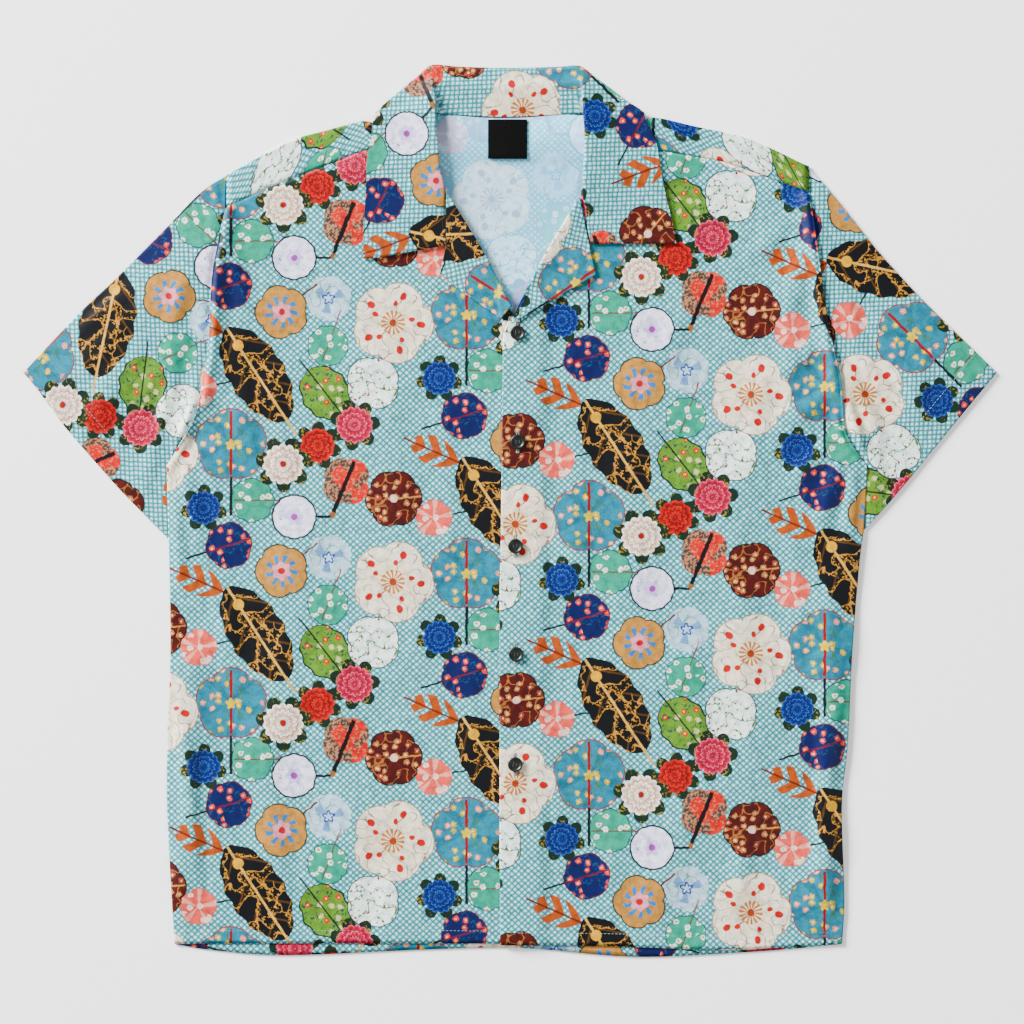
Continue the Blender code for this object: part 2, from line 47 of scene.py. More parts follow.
layers = {
    "bottom": 0.6,  # the middle of the lowest layer
    "step": 1.5,  # from one layer's middle to the next
    "foldLimit": 3.2,
}

# the body's outline, from the hem to the underarm, and the armhole seams from there to the shoulder
Side = namedtuple("Side", "y left right")
sides = (
    Side(-367.5, -285.0, 282.0),
    Side(-328.0, -287.3, 284.0),
    Side(-250.0, -291.3, 281.8),
    Side(-197.0, -291.0, 287.0),
    Side(-119.0, -288.4, 290.7),
    Side(-45.0, -289.4, 296.7),
    Side(-10.0, -290.3, 301.0),
    Side(39.0, -291.5, 303.5),
)
Armhole = namedtuple("Armhole", "leftX leftY rightX rightY")
armholes = (
    Armhole(-291.5, 39.0, 303.5, 39.0),
    Armhole(-273.7, 65.9, 285.5, 63.0),
    Armhole(-264.5, 86.0, 281.5, 90.0),
    Armhole(-259.0, 116.0, 279.0, 116.0),
    Armhole(-254.5, 145.0, 270.3, 153.4),
    Armhole(-252.0, 196.8, 264.4, 190.0),
    Armhole(-246.0, 232.0, 258.4, 234.2),
    Armhole(-241.4, 258.8, 253.8, 271.0),
)

# where the back turns over each shoulder, and its seam to the front
Shoulder = namedtuple("Shoulder", "x fold seam")
shoulderLeft = (
    Shoulder(-66.0, 336.0, 330.0),
    Shoulder(-112.0, 330.0, 311.0),
    Shoulder(-124.0, 332.3, 306.6),
    Shoulder(-150.0, 325.3, 297.2),
    Shoulder(-180.0, 317.8, 285.0),
    Shoulder(-207.4, 304.7, 274.2),
    Shoulder(-239.5, 286.9, 259.6),
)
shoulderRight = (
    Shoulder(66.0, 336.0, 318.0),
    Shoulder(108.0, 331.0, 309.4),
    Shoulder(122.0, 335.2, 307.4),
    Shoulder(150.0, 328.8, 303.0),
    Shoulder(180.0, 323.0, 297.6),
    Shoulder(207.4, 315.3, 288.2),
    Shoulder(252.8, 294.0, 271.8),
)

underEdge = 19.0  # x of the right front's edge, under the left front
rollLeft = ((1.0, 172.0), (-20.4, 215.5), (-38.3, 245.2), (-52.7, 267.3), (-57.8, 281.8), (-61.2, 296.2),
            (-63.0, 316.0), (-63.8, 333.0))
rollRight = ((4.5, 168.5), (15.3, 190.5), (30.6, 219.0), (46.8, 246.1), (58.9, 266.5), (62.6, 280.0),
             (64.6, 310.7), (63.6, 333.0))

# soft folds in the upper cloth: a ridge along a line, its height and its width on each side
Fold = namedtuple("Fold", "x1 y1 x2 y2 height width")
mainFolds = (
    Fold(-241, 250, -256, 105, 2.3, 13),
    Fold(-262, 95, -276, 68, 1.8, 12),
    Fold(-262, 215, -352, 85, 1.3, 26),
    Fold(-300, 190, -380, 105, 1.0, 22),
    Fold(-233, 170, -222, 60, 1.0, 18),
    Fold(254, 262, 277, 112, 2.6, 13),
    Fold(279, 104, 296, 60, 2.6, 10),
    Fold(283, 215, 350, 95, 1.3, 26),
    Fold(322, 190, 385, 110, 1.0, 22),
    Fold(238, 180, 236, 60, 1.0, 18),
    Fold(-272, -130, -268, -330, 1.5, 17),
    Fold(-180, -20, -215, -300, 0.9, 28),
    Fold(-110, 120, -75, -120, 0.9, 26),
    Fold(272, -60, 262, -330, 1.7, 15),
    Fold(190, 40, 205, -250, 0.9, 28),
    Fold(110, 150, 95, -140, 0.9, 28),
    Fold(-90, -340, -150, -250, 0.8, 20),
    Fold(120, -345, 150, -240, 0.8, 20),
)


def ease(t):
    t = np.clip(t, 0, 1)
    return t * t * (3 - 2 * t)


def curveAt(points, places):  # a Catmull-Rom curve through the points, read at these places along it
    points = np.asarray(points, float)
    last = len(points) - 1
    k = np.minimum(np.floor(places).astype(int), last - 1)
    t = (places - k).reshape((-1,) + (1,) * (points.ndim - 1))
    a, b = points[np.maximum(k - 1, 0)], points[k]
    c, d = points[k + 1], points[np.minimum(k + 2, last)]
    line = 2 * b + (c - a) * t
    return 0.5 * (line + (2 * a - 5 * b + 4 * c - d) * t ** 2 + (3 * b - a - 3 * c + d) * t ** 3)


def smoothLine(points, steps=8):
    return curveAt(points, np.arange((len(points) - 1) * steps + 1) / steps)


def lengthsOf(line):  # how far along the line each of its points lies
    return np.concatenate([[0], np.cumsum(np.linalg.norm(np.diff(line, axis=0), axis=1))])


def along(line, shares):
    line = np.asarray(line, float)
    lengths = lengthsOf(line)
    wanted = np.asarray(shares) * lengths[-1]
    return np.stack([np.interp(wanted, lengths, line[:, k]) for k in range(line.shape[1])], axis=-1)


def evenly(points, count):
    return along(smoothLine(points), np.linspace(0, 1, count + 1))


def unit(ways):
    return ways / np.linalg.norm(ways, axis=1)[:, None]


def beside(points, distance):  # the line moved to the left of its direction
    points = np.asarray(points, float)
    direction = unit(np.gradient(points, axis=0))
    return points + np.stack([-direction[:, 1], direction[:, 0]], axis=1) * distance


def patch(low, high, left, right, shares=None):  # a Coons patch between four edges
    low, high, left, right = (np.asarray(e, float) for e in (low, high, left, right))
    u = np.linspace(0, 1, len(low)) if shares is None else np.asarray(shares)
    u, v = u[None, :, None], np.linspace(0, 1, len(left))[:, None, None]
    ruled = (1 - v) * low[None] + v * high[None] + (1 - u) * left[:, None] + u * right[:, None]
    corners = (1 - u) * (1 - v) * low[0] + u * (1 - v) * low[-1] + (1 - u) * v * high[0] + u * v * high[-1]
    return ruled - corners


def places(count, steps):  # where to read a coarse line
    return np.round(np.arange(count * steps + 1) / steps, 4)


def refined(rows, down, across):
    grid = curveAt(rows, down)
    return np.swapaxes(curveAt(np.swapaxes(grid, 0, 1), across), 0, 1)


fall = {"low": 306.0, "half": 123.0, "slope": 14.0, "sideSlope": 30.0}


def fallRaise(x, y, wider=0.0):  # how far the collar's fall, which lies under the back, lifts what is on it
    up = ease((y - fall["low"] + fall["slope"] + wider) / fall["slope"])
    across = ease((fall["half"] + fall["sideSlope"] + wider - np.abs(x)) / fall["sideSlope"])
    return layers["step"] * up * across


def ridge(fold, x, y, taper=0.0):
    dx, dy = fold.x2 - fold.x1, fold.y2 - fold.y1
    t = np.clip(((x - fold.x1) * dx + (y - fold.y1) * dy) / (dx * dx + dy * dy), 0, 1)
    off = np.hypot(x - fold.x1 - t * dx, y - fold.y1 - t * dy)
    fade = 1 - taper * np.abs(2 * t - 1) ** 2
    return fold.height * fade * np.exp(-((off / fold.width) ** 2))


def swell(x, y):
    return np.minimum(sum(ridge(fold, x, y) for fold in mainFolds), layers["foldLimit"])


def ripple(x, y):  # the slight unevenness of cloth that was smoothed out by hand
    return (0.16 * np.sin(x / 23 + 1.7 * np.sin(y / 71)) * np.sin(y / 47 + 0.8)
            + 0.10 * np.sin((x + 1.3 * y) / 17 + 2.1 * np.sin(x / 90))
            + 0.07 * np.sin((x - 0.8 * y) / 9.5 + 1.1 * np.sin(y / 40)))


def backMiddle(x, y):
    return layers["bottom"] + fallRaise(x, y)


def upperMiddle(x, y):
    return layers["bottom"] + layers["step"] + fallRaise(x, y, wider=16.0) + swell(x, y)


closing = {"start": 5, "slope": 12.0, "gap": 0.2, "top": 175.0, "fade": 25}


def leftFrontMiddle(x, y):  # a layer higher where it lies over the right front
    across = 1 - ease((x - underEdge - closing["start"]) / closing["slope"])
    up = 1 - ease((y - closing["top"]) / closing["fade"])
    return upperMiddle(x, y) + (layers["step"] + closing["gap"]) * across * up


def leafMiddle(x, y):
    front = np.where(np.asarray(x) > -9, leftFrontMiddle(x, y), upperMiddle(x, y))
    return front + layers["step"] + 0.3


def sideAndArmhole(which, sideCount, armCount):
    side = [(row.left if which == "left" else row.right, row.y) for row in sides]
    arm = [(row.leftX, row.leftY) if which == "left" else (row.rightX, row.rightY) for row in armholes]
    return np.concatenate([evenly(side, sideCount)[:-1], evenly(arm, armCount)])


def lifted(flat, middle):
    return np.dstack([flat, middle(flat[..., 0], flat[..., 1])])


def clothMesh(name, rows, uvs, leaveOut=None, closed=False):  # a grid moved onto the rows of points
    down, across = rows.shape[:2]
    bm = bmesh.new()
    bmesh.ops.create_grid(bm, x_segments=across - 1, y_segments=down - 1, size=1)
    mesh = bpy.data.meshes.new(name)
    bm.to_mesh(mesh)
    bm.free()
    found = np.empty(len(mesh.vertices) * 3)
    mesh.vertices.foreach_get("co", found)
    i = np.rint((found[0::3] + 1) / 2 * (across - 1)).astype(int)
    j = np.rint((found[1::3] + 1) / 2 * (down - 1)).astype(int)
    mesh.vertices.foreach_set("co", (rows[j, i] * mm).ravel())
    loops = np.empty(len(mesh.loops), int)
    mesh.loops.foreach_get("vertex_index", loops)
    mesh.uv_layers.new(name="print").data.foreach_set("uv", (uvs[j, i] * mm)[loops].ravel())
    bm = bmesh.new()
    bm.from_mesh(mesh)
    if leaveOut is not None:
        bm.faces.ensure_lookup_table()
        gone = [face for face in bm.faces
                if leaveOut[min(j[v.index] for v in face.verts), min(i[v.index] for v in face.verts)]]
        bmesh.ops.delete(bm, geom=gone, context="FACES")
    if closed:
        bmesh.ops.remove_doubles(bm, verts=bm.verts, dist=1e-6)
    bmesh.ops.recalc_face_normals(bm, faces=bm.faces)
    return mesh, bm


def facing(bm, towards):  # turns the faces so that their outer side is the one the function points to
    total = sum(face.normal.dot(towards(face.calc_center_median())) * face.calc_area() for face in bm.faces)
    if total < 0:
        bmesh.ops.reverse_faces(bm, faces=bm.faces)


def linked(name, data):
    made = bpy.data.objects.new(name, data)
    bpy.context.collection.objects.link(made)
    return made


def addObject(name, mesh, bm, materials, shade=True):
    bm.to_mesh(mesh)
    bm.free()
    if shade:
        mesh.shade_smooth()
    for material in materials:
        mesh.materials.append(material)
    return linked(name, mesh)


def cloth(name, rows, uvs, materials, thickness=0.5, leaveOut=None, closed=False, towards=None):
    mesh, bm = clothMesh(name, rows, uvs, leaveOut, closed)
    facing(bm, towards or (lambda place: Vector((0, 0, 1))))
    made = addObject(name, mesh, bm, materials)
    solidify = made.modifiers.new("Cloth", "SOLIDIFY")
    solidify.thickness = thickness * mm
    solidify.offset = 0
    solidify.material_offset = min(len(materials) - 1, 1)
    return made


def planar(rows, turn=0.0, offset=(0, 0), mirror=1):  # print coordinates straight from above
    angle = math.radians(turn)
    x, y = rows[..., 0] * mirror, rows[..., 1]
    return np.dstack([
        x * math.cos(angle) + y * math.sin(angle) + offset[0],
        -x * math.sin(angle) + y * math.cos(angle) + offset[1],
    ])


def halfTurn(inside, low, high, outward, steps=6):  # the round fold that joins two layers
    radius = (high - low) / 2
    rows = []
    for angle in np.linspace(0, math.pi, steps + 1)[1:-1]:
        xy = inside + outward * (radius * math.sin(angle))[..., None]
        rows.append(np.concatenate([xy, (low + radius * (1 - math.cos(angle)))[..., None]], axis=-1))
    return rows


def distanceTo(line, x, y):
    nearest = np.full(np.shape(x), 1e9)
    for a, b in zip(line, line[1:]):
        d = b - a
        t = np.clip(((x - a[0]) * d[0] + (y - a[1]) * d[1]) / max(d @ d, 1e-9), 0, 1)
        nearest = np.minimum(nearest, np.hypot(x - a[0] - t * d[0], y - a[1] - t * d[1]))
    return nearest


# creases too fine for the solids: ridges where height is above nought, troughs below
fineCreases = [Fold(*row) for row in (
    (-262, 60, -205, 20, 0.9, 7), (-268, 48, -225, -15, 0.7, 6), (-276, 40, -262, -40, 0.9, 6),
    (-284, 20, -279, -70, 0.7, 5), (-250, 110, -215, 60, 0.6, 7), (-236, 225, -221, 160, 0.6, 7),
    (-228, 240, -196, 205, 0.5, 8), (-205, 120, -188, 20, 0.5, 10), (-281, -150, -272, -260, 0.8, 6),
    (-262, -190, -258, -330, -0.6, 7), (-245, -60, -232, -160, 0.5, 9), (-283, -280, -277, -352, 0.7, 6),
    (276, 62, 236, 22, 0.9, 7), (283, 52, 262, -20, 1.1, 6), (292, 44, 287, -35, 0.9, 5),
    (272, 100, 238, 78, 0.8, 7), (262, 140, 232, 120, 0.6, 7), (252, 230, 236, 165, 0.6, 7),
    (240, 250, 205, 215, 0.5, 8), (214, 130, 206, 30, 0.5, 10), (279, -120, 270, -250, 0.8, 6),
    (258, -170, 254, -310, -0.6, 7), (240, -20, 246, -140, 0.5, 9), (268, -270, 272, -350, 0.7, 6),
    (-275, 200, -292, 140, 0.8, 7), (-270, 160, -315, 90, 0.7, 8), (-283, 130, -300, 60, 0.8, 6),
    (-320, 190, -372, 150, 0.5, 9), (-335, 120, -358, 70, 0.5, 8), (-300, 60, -318, 10, 0.6, 7),
    (276, 205, 300, 140, 0.8, 7), (279, 165, 320, 95, 0.7, 8), (290, 120, 316, 55, 0.9, 6),
    (330, 195, 378, 152, 0.5, 9), (340, 120, 352, 70, 0.5, 8), (308, 60, 316, 10, 0.7, 6),
    (-150, 205, -118, 110, 0.5, 12), (152, 205, 128, 105, 0.5, 12), (-60, 90, -48, -60, 0.4, 12),
    (62, 60, 48, -90, 0.4, 12), (-160, -120, -140, -220, 0.4, 12), (150, -100, 162, -220, 0.4, 12),
    (-35, -120, -30, -250, 0.4, 10), (32, -150, 44, -280, 0.4, 11), (-205, -240, -190, -345, 0.5, 9),
    (284, 100, 300, 52, 0.9, 3.5), (276, 98, 290, 54, -0.7, 3.5), (-268, 92, -284, 50, 0.9, 3.5),
    (-260, 90, -272, 52, -0.7, 3.5), (205, -250, 190, -350, 0.5, 9), (-110, -270, -120, -350, -0.4, 9),
    (88, -280, 84, -350, 0.4, 9),
)]

# how deep the creases and the ripple are laid
relief = {"fine": 3.2, "main": 0.7, "ripple": 2.6, "limit": 2.6, "armhole": 1.1}


def creases(x, y):
    sharp = sum(ridge(fold._replace(width=fold.width * 0.5), x, y, taper=0.6) for fold in mainFolds)
    fine = sum(ridge(fold, x, y, taper=0.85) for fold in fineCreases)
    return relief["limit"] * np.tanh((relief["fine"] * fine + relief["main"] * sharp) / relief["limit"])


# how far hem and cuffs are turned up, and how far inside the turned edge the stitches run
hemStitch = {"body": 11.5, "sleeve": 25.0, "pitch": 3.2, "inside": 0.8}


def hemRelief(distance, part, place):  # a turned hem and the line of stitches that holds it
    settings = {"thicker": 0.3, "sunk": 0.38, "width": 1.5}
    turned = hemStitch[part]
    double = settings["thicker"] * (1 - ease((distance - turned) / settings["width"]))
    pucker = 0.75 + 0.25 * np.cos(2 * math.pi * place / hemStitch["pitch"])
    off = (distance - turned + hemStitch["inside"]) / settings["width"]
    return double - settings["sunk"] * pucker * np.exp(-(off ** 2))


def sagAt(distance, depth, reach):  # how cloth dips to a seam or to the edge that it ends at
    return -depth * np.exp(-((distance / reach) ** 2))


leftArm = sideAndArmhole("left", 20, 30)[20:]
rightArm = sideAndArmhole("right", 20, 30)[20:]
seamLeft = smoothLine([(row.x, row.seam) for row in shoulderLeft])
seamRight = smoothLine([(row.x, row.seam) for row in shoulderRight])
frontHemRight = ((-8.5, -368.3), (90.0, -369.5), (180.0, -372.6), (225.0, -370.6), (282.0, -367.5))
frontHemLeft = ((-285.0, -367.5), (-226.0, -366.8), (-65.0, -366.8), (underEdge, -367.5))
backHem = ((-285.0, -367.5), (-250.0, -373.0), (-187.9, -377.0), (-65.5, -372.0), (10.0, -371.0),
           (106.3, -378.4), (202.3, -374.4), (262.0, -369.5), (282.0, -367.5))
neckSeam = ((-66.0, 336.0), (-45.0, 336.2), (-18.0, 334.2), (14.5, 334.6), (45.0, 337.0), (66.0, 336.0))
placketEdge = ((-8.5, -368.3), (-8.9, -220.0), (-8.9, -85.0), (-7.7, -16.6), (-6.8, 70.0), (-6.2, 125.0),
               (-6.0, 145.0), (-4.6, 154.5), (-1.5, 161.5))


def frontMiddle(which, x, y):  # the fine form of a front, on the solid's own
    settings = {"settle": 0.7, "reach": 60, "calm": 0.85, "roll": 3.5, "lowest": 1.25}
    base = upperMiddle(x, y) if which == "right" else leftFrontMiddle(x, y)
    hem = smoothLine(frontHemLeft if which == "right" else frontHemRight)
    arm, seam = (leftArm, seamLeft) if which == "right" else (rightArm, seamRight)
    up = y - np.interp(x, hem[:, 0], hem[:, 1])
    settle = -settings["settle"] * (1 - ease(up / settings["reach"]))
    settle *= 1 if which == "right" else 1 - ease((30 - x) / 30)
    away = distanceTo(arm, x, y)
    # smoother under the collar and the lapels, with a roll beside the armhole
    calm = 1 - settings["calm"] * ease((y - 150) / 25) * ease((150 - np.abs(x)) / 20)
    fine = (creases(x, y) + relief["ripple"] * ripple(x, y) * ease(up / 30)) * calm
    fine += relief["armhole"] * np.exp(-(((away - settings["roll"]) / settings["roll"]) ** 2))
    return np.maximum(base + settle + fine + hemRelief(up, "body", x)
                      + sagAt(away, 0.3, 1.5) + sagAt(distanceTo(seam, x, y), 0.8, 2.0),
                      settings["lowest"] + base - upperMiddle(x, y))


def makeFront(which, materials):
    settings = {"rows": 210, "neck": 67, "side": 126, "over": 1.2, "neckGap": 1.3, "seamGap": 0.4}
    right = which == "right"
    table = shoulderLeft if right else shoulderRight
    shoulder = [(row.x, row.seam - settings["seamGap"]) for row in table]
    sideRows = settings["side"]
    outer = sideAndArmhole("left" if right else "right", sideRows, settings["rows"] - sideRows)
    if right:
        placket = [(underEdge, y) for y in (-367.5, -200, 0, 90, 125)]
        placket += [(18.5, 140.0), (15, 150), (10.0, 158.0)]
        neck, hem = beside(rollLeft, settings["neckGap"]), frontHemLeft[::-1]
    else:
        placket = placketEdge
        neck, hem = beside(rollRight, -settings["neckGap"]), frontHemRight
    neck[-1] = shoulder[0]
    outer[-1] = shoulder[-1]
    share = np.linspace(0, 1, len(outer) - sideRows)  # past the seam the cloth lies over the sleeve
    over = (-1 if right else 1) * settings["over"]
    outer[sideRows:, 0] += over * ease(share * 9) * ease((1 - share) * 9)
    inner = np.concatenate([evenly(placket, settings["rows"] - settings["neck"] - 1),
                            evenly(neck, settings["neck"])])
    shares = np.concatenate([np.linspace(0, 0.02, 6)[:-1], np.linspace(0.02, 0.97, 88)[:-1],
                             np.linspace(0.97, 1, 9)])
    low, high = along(smoothLine(hem), shares), along(smoothLine(shoulder), shares)
    low[0], low[-1] = inner[0], outer[0]
    flat = patch(low, high, inner, outer, shares)
    if right:
        flat = flat[:, ::-1]
    rows = lifted(flat, lambda x, y: frontMiddle(which, x, y))
    uvs = planar(rows, 0, (0, 0) if right else (96, 61))
    made = cloth("shirt_front_" + which, rows, uvs, materials)
    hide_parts("front_" + which)
    return made


def makeBack(materials):
    settings = {"side": 110, "arm": 60, "shoulder": 40, "neck": 30, "inset": 1.35, "over": 1.2, "turned": 14}
    left, right = (evenly([(row.x, row.fold - settings["inset"]) for row in table], settings["shoulder"])
                   for table in (shoulderLeft, shoulderRight))
    left[-1, 0] -= settings["over"]
    right[-1, 0] += settings["over"]
    neck = evenly(neckSeam, settings["neck"])
    top = np.concatenate([left[::-1], neck[1:-1], right])
    leftUp = np.concatenate([sideAndArmhole("left", settings["side"], settings["arm"]), top[:1]])
    rightUp = np.concatenate([sideAndArmhole("right", settings["side"], settings["arm"]), top[-1:]])
    flat = patch(evenly(backHem, len(top) - 1), top, leftUp, rightUp)
    hem = smoothLine(backHem)
    x, y = flat[..., 0], flat[..., 1]
    up = y - np.interp(x, hem[:, 0], hem[:, 1])
    z = backMiddle(x, y) + hemRelief(up, "body", x) * 0.5
    rows = np.dstack([flat, np.maximum(z, 0.3)])
    start = len(left)
    end = start + settings["neck"] - 1
    seamY = np.concatenate([
        np.interp(top[:start, 0], *np.array([(row.x, row.seam) for row in shoulderLeft[::-1]]).T),
        top[start:end, 1],
        np.interp(top[end:, 0], *np.array([(row.x, row.seam) for row in shoulderRight]).T),
    ])
    low, high = backMiddle(top[:, 0], top[:, 1]), upperMiddle(top[:, 0], top[:, 1])
    turns = halfTurn(top, low, high, np.array([0.0, 1.0]) * np.ones_like(top))
    over = []
    for share in np.linspace(0, 1, settings["turned"]):
        y = top[:, 1] * (1 - share) + seamY * share
        z = upperMiddle(top[:, 0], y) + ripple(top[:, 0], y) * ease(share * 2)
        z += sagAt(y - seamY, 0.7, 2.0)
        over.append(np.stack([top[:, 0], y, high * (1 - ease(share * 3)) + z * ease(share * 3)], axis=-1))
    rows = np.concatenate([rows, np.stack(turns + over)])
    uvs = planar(rows, 0, (85, 5), mirror=-1)
    first = len(flat)
    past = lengthsOf(rows[first - 1:, start // 2])
    uvs[first - 1:, :, 1] = uvs[first - 1, :, 1][None] + past[:, None]
    gone = np.zeros(rows.shape[:2], bool)
    gone[first - 1:, start - 1:end] = True
    # the turned-up hem takes the third and fourth material, so that its printed side shows on both faces
    made = cloth("shirt_back", rows, uvs, materials + materials[:1] * 2, leaveOut=gone,
                 towards=lambda place: Vector((0, 0, -1)))
    turnedUp = [(np.interp(face.center.x / mm, hem[:, 0], hem[:, 1]) + hemStitch["body"]) * mm
                for face in made.data.polygons]
    made.data.polygons.foreach_set("material_index", [
        2 if face.center.y < limit else 0 for face, limit in zip(made.data.polygons, turnedUp)])
    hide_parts("back")
    return made


sleeveTops = {
    "left": ((253.9, 293.2), (278.0, 264.8), (300.9, 235.9), (317.1, 216.3), (353.6, 177.2), (414.0, 118.6)),
    "right": ((-240.6, 286.2), (-263.5, 270.7), (-295.0, 238.4), (-337.5, 195.9), (-363.8, 171.3),
              (-414.0, 118.6)),
}
cuffs = {
    "left": ((414.0, 118.6), (373.0, 69.0), (331.5, 18.3), (300.6, -16.0)),
    "right": ((-414.0, 118.6), (-401.2, 103.3), (-377.4, 71.0), (-343.4, 31.9), (-326.4, 13.2),
              (-289.0, -24.6)),
}
underarms = {"left": (302.4, 39.8), "right": (-290.0, 41.0)}


def makeSleeve(which, materials):
    settings = {"down": 96, "arm": 60, "cap": 5, "inset": 1.35, "settle": 45}
    sign = 1 if which == "left" else -1
    top, cuff = np.array(sleeveTops[which]), np.array(cuffs[which])
    arm = sideAndArmhole("left" if sign < 0 else "right", 15, 10)[15:]
    arm = beside(arm, -sign * 0.15)[1:]
    underarm = np.array([arm[0], underarms[which], cuff[-1]])
    armhole = np.concatenate([evenly(arm, settings["arm"]),
                              np.linspace(arm[-1], top[0], settings["cap"] + 1)[1:]])
    shares = np.unique(np.concatenate([np.linspace(0, 0.03, 6), np.linspace(0.03, 1, settings["down"])]))
    flat = patch(armhole, evenly(cuff[::-1], len(armhole) - 1), along(underarm, shares),
                 along(smoothLine(top), shares))
    across = unit(flat[:, -1] - flat[:, 0])
    flat[:, 0] += across * settings["inset"]
    flat[:, -1] -= across * settings["inset"]
    x, y = flat[..., 0], flat[..., 1]
    base = layers["bottom"] + layers["step"]
    up = distanceTo(smoothLine(cuff), x, y)
    low = 1 - ease(up / settings["settle"])
    fromEdge = np.minimum(*(np.linalg.norm(flat - edge, axis=2) for edge in (flat[:, :1], flat[:, -1:])))
    z = upperMiddle(x, y) - base + creases(x, y) + relief["ripple"] * 0.7 * ripple(x, y)
    z += hemRelief(up, "sleeve", (x - y) * 0.7)
    z = base - 0.5 * low + z * (1 - 0.75 * low) * ease(fromEdge / 14)
    z = np.maximum(z + sagAt(distanceTo(armhole, x, y), 2.5, 5.0), layers["bottom"] + 0.75)
    upper = np.dstack([flat, z])
    lower = np.dstack([flat, np.full_like(z, layers["bottom"])])[:, ::-1]
    topTurn = np.stack(halfTurn(flat[:, -1], lower[:, 0, 2], z[:, -1], across)[::-1], axis=1)
    underTurn = np.stack(halfTurn(flat[:, 0], lower[:, -1, 2], z[:, 0], -across), axis=1)
    rows = np.concatenate([upper, topTurn, lower, underTurn, upper[:, :1]], axis=1)
    lay = sign * 45, (17, 83) if which == "left" else (140, 25)
    uvs = planar(rows, *lay)
    way = (top[-1] - top[0]) / np.linalg.norm(top[-1] - top[0])
    mirrored = rows.copy()  # the print runs on round the fold at the top
    offset = rows[..., :2] - top[0]
    mirrored[..., :2] = top[0] + 2 * (offset @ way)[..., None] * way - offset
    first = upper.shape[1] + topTurn.shape[1] // 2
    uvs[:, first:-1] = planar(mirrored, *lay)[:, first:-1]
    uvs[:, -1] = uvs[:, -2]
    between = 1.3 * mm  # a height between the tube's two halves
    made = cloth("shirt_sleeve_" + which, rows, uvs, materials, closed=True,
                 towards=lambda place: Vector((0, 0, 1 if place.z > between else -1)))
    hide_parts("sleeve_" + which)
    return made


# the collar's sections round the neck, as in the solid: the neck seam, the crest that the collar turns
# over, the fold or the leaf's far part, how far it then turns back under, and the free edge
Section = namedtuple("Section", "seam seamZ crest crestZ over foldZ wrap edge")
collarSections = (
    Section((-54.9, 226.2), None, (-58.0, 225.5), None, (-111.0, 215.5), None, 0, (-125.0, 214.6)),
    Section((-54.9, 249.0), None, (-58.5, 249.0), None, (-110.0, 246.0), None, 0, (-124.2, 245.0)),
    Section((-55.2, 271.6), None, (-57.5, 272.6), 6.8, (-110.0, 271.5), None, 0, (-122.4, 271.5)),
    Section((-61.2, 296.2), 3.0, (-61.2, 296.6), 8.2, (-109.0, 298.0), None, 0, (-121.4, 298.8)),
    Section((-63.0, 316.0), 3.0, (-62.9, 316.4), 8.6, (-106.0, 317.0), None, 0, (-117.8, 317.0)),
    Section((-63.6, 326.0), 3.0, (-63.5, 326.6), 8.6, (-104.0, 330.5), None, 0, (-116.4, 331.8)),
    Section((-63.8, 332.0), 3.0, (-63.8, 334.0), 8.6, (-116.2, 337.3), 5.2, 100, None),
    Section((-63.6, 338.3), 2.6, (-64.4, 345.0), 8.2, (-104.0, 348.6), 3.9, 180, (-101.0, 334.5)),
    Section((-62.4, 339.0), 2.3, (-65.0, 355.0), 7.6, (-92.0, 358.9), 3.4, 180, (-94.0, 327.5)),
    Section((-60.8, 338.9), 2.1, (-65.6, 364.0), 6.6, (-79.0, 369.2), 3.2, 180, (-84.0, 321.0)),
    Section((-58.4, 338.3), 2.1, (-61.5, 364.0), 5.4, (-66.4, 378.4), 3.2, 180, (-72.0, 315.5)),
    Section((-42.0, 336.9), 2.1, (-42.5, 362.0), 4.6, (-43.0, 377.0), 3.6, 180, (-43.5, 312.0)),
    Section((-4.0, 335.0), 2.1, (-4.0, 360.0), 4.4, (-4.0, 375.9), 3.6, 180, (-4.0, 310.5)),
    Section((38.0, 336.9), 2.1, (38.5, 362.0), 4.6, (39.0, 376.8), 3.6, 180, (40.5, 312.0)),
    Section((57.6, 338.3), 2.1, (57.5, 364.0), 5.4, (59.5, 377.6), 3.2, 180, (68.0, 315.5)),
    Section((60.0, 338.9), 2.1, (61.0, 362.0), 6.6, (73.0, 368.4), 3.2, 180, (80.0, 320.5)),
    Section((61.6, 339.0), 2.3, (62.0, 353.0), 7.6, (87.0, 358.4), 3.4, 180, (90.0, 327.5)),
    Section((62.8, 338.3), 2.6, (62.9, 344.0), 8.2, (100.0, 348.2), 3.9, 180, (98.0, 334.8)),
    Section((63.6, 332.0), 3.0, (63.6, 334.0), 8.6, (113.2, 339.4), 5.2, 100, None),
    Section((64.1, 326.0), 3.0, (64.1, 326.6), 8.6, (104.0, 331.0), None, 0, (115.2, 332.2)),
    Section((64.6, 311.0), 3.0, (64.6, 312.0), 8.6, (112.5, 313.5), None, 0, (124.1, 313.0)),
    Section((63.7, 291.0), 3.0, (63.9, 292.0), 8.2, (115.5, 293.0), None, 0, (127.5, 292.5)),
    Section((60.6, 269.2), None, (63.4, 270.2), 6.8, (120.0, 269.0), None, 0, (132.2, 268.5)),
    Section((64.2, 249.0), None, (68.5, 249.0), None, (123.5, 247.5), None, 0, (137.5, 247.0)),
    Section((68.4, 227.6), None, (72.0, 227.5), None, (126.0, 227.4), None, 0, (141.1, 227.4)),
)


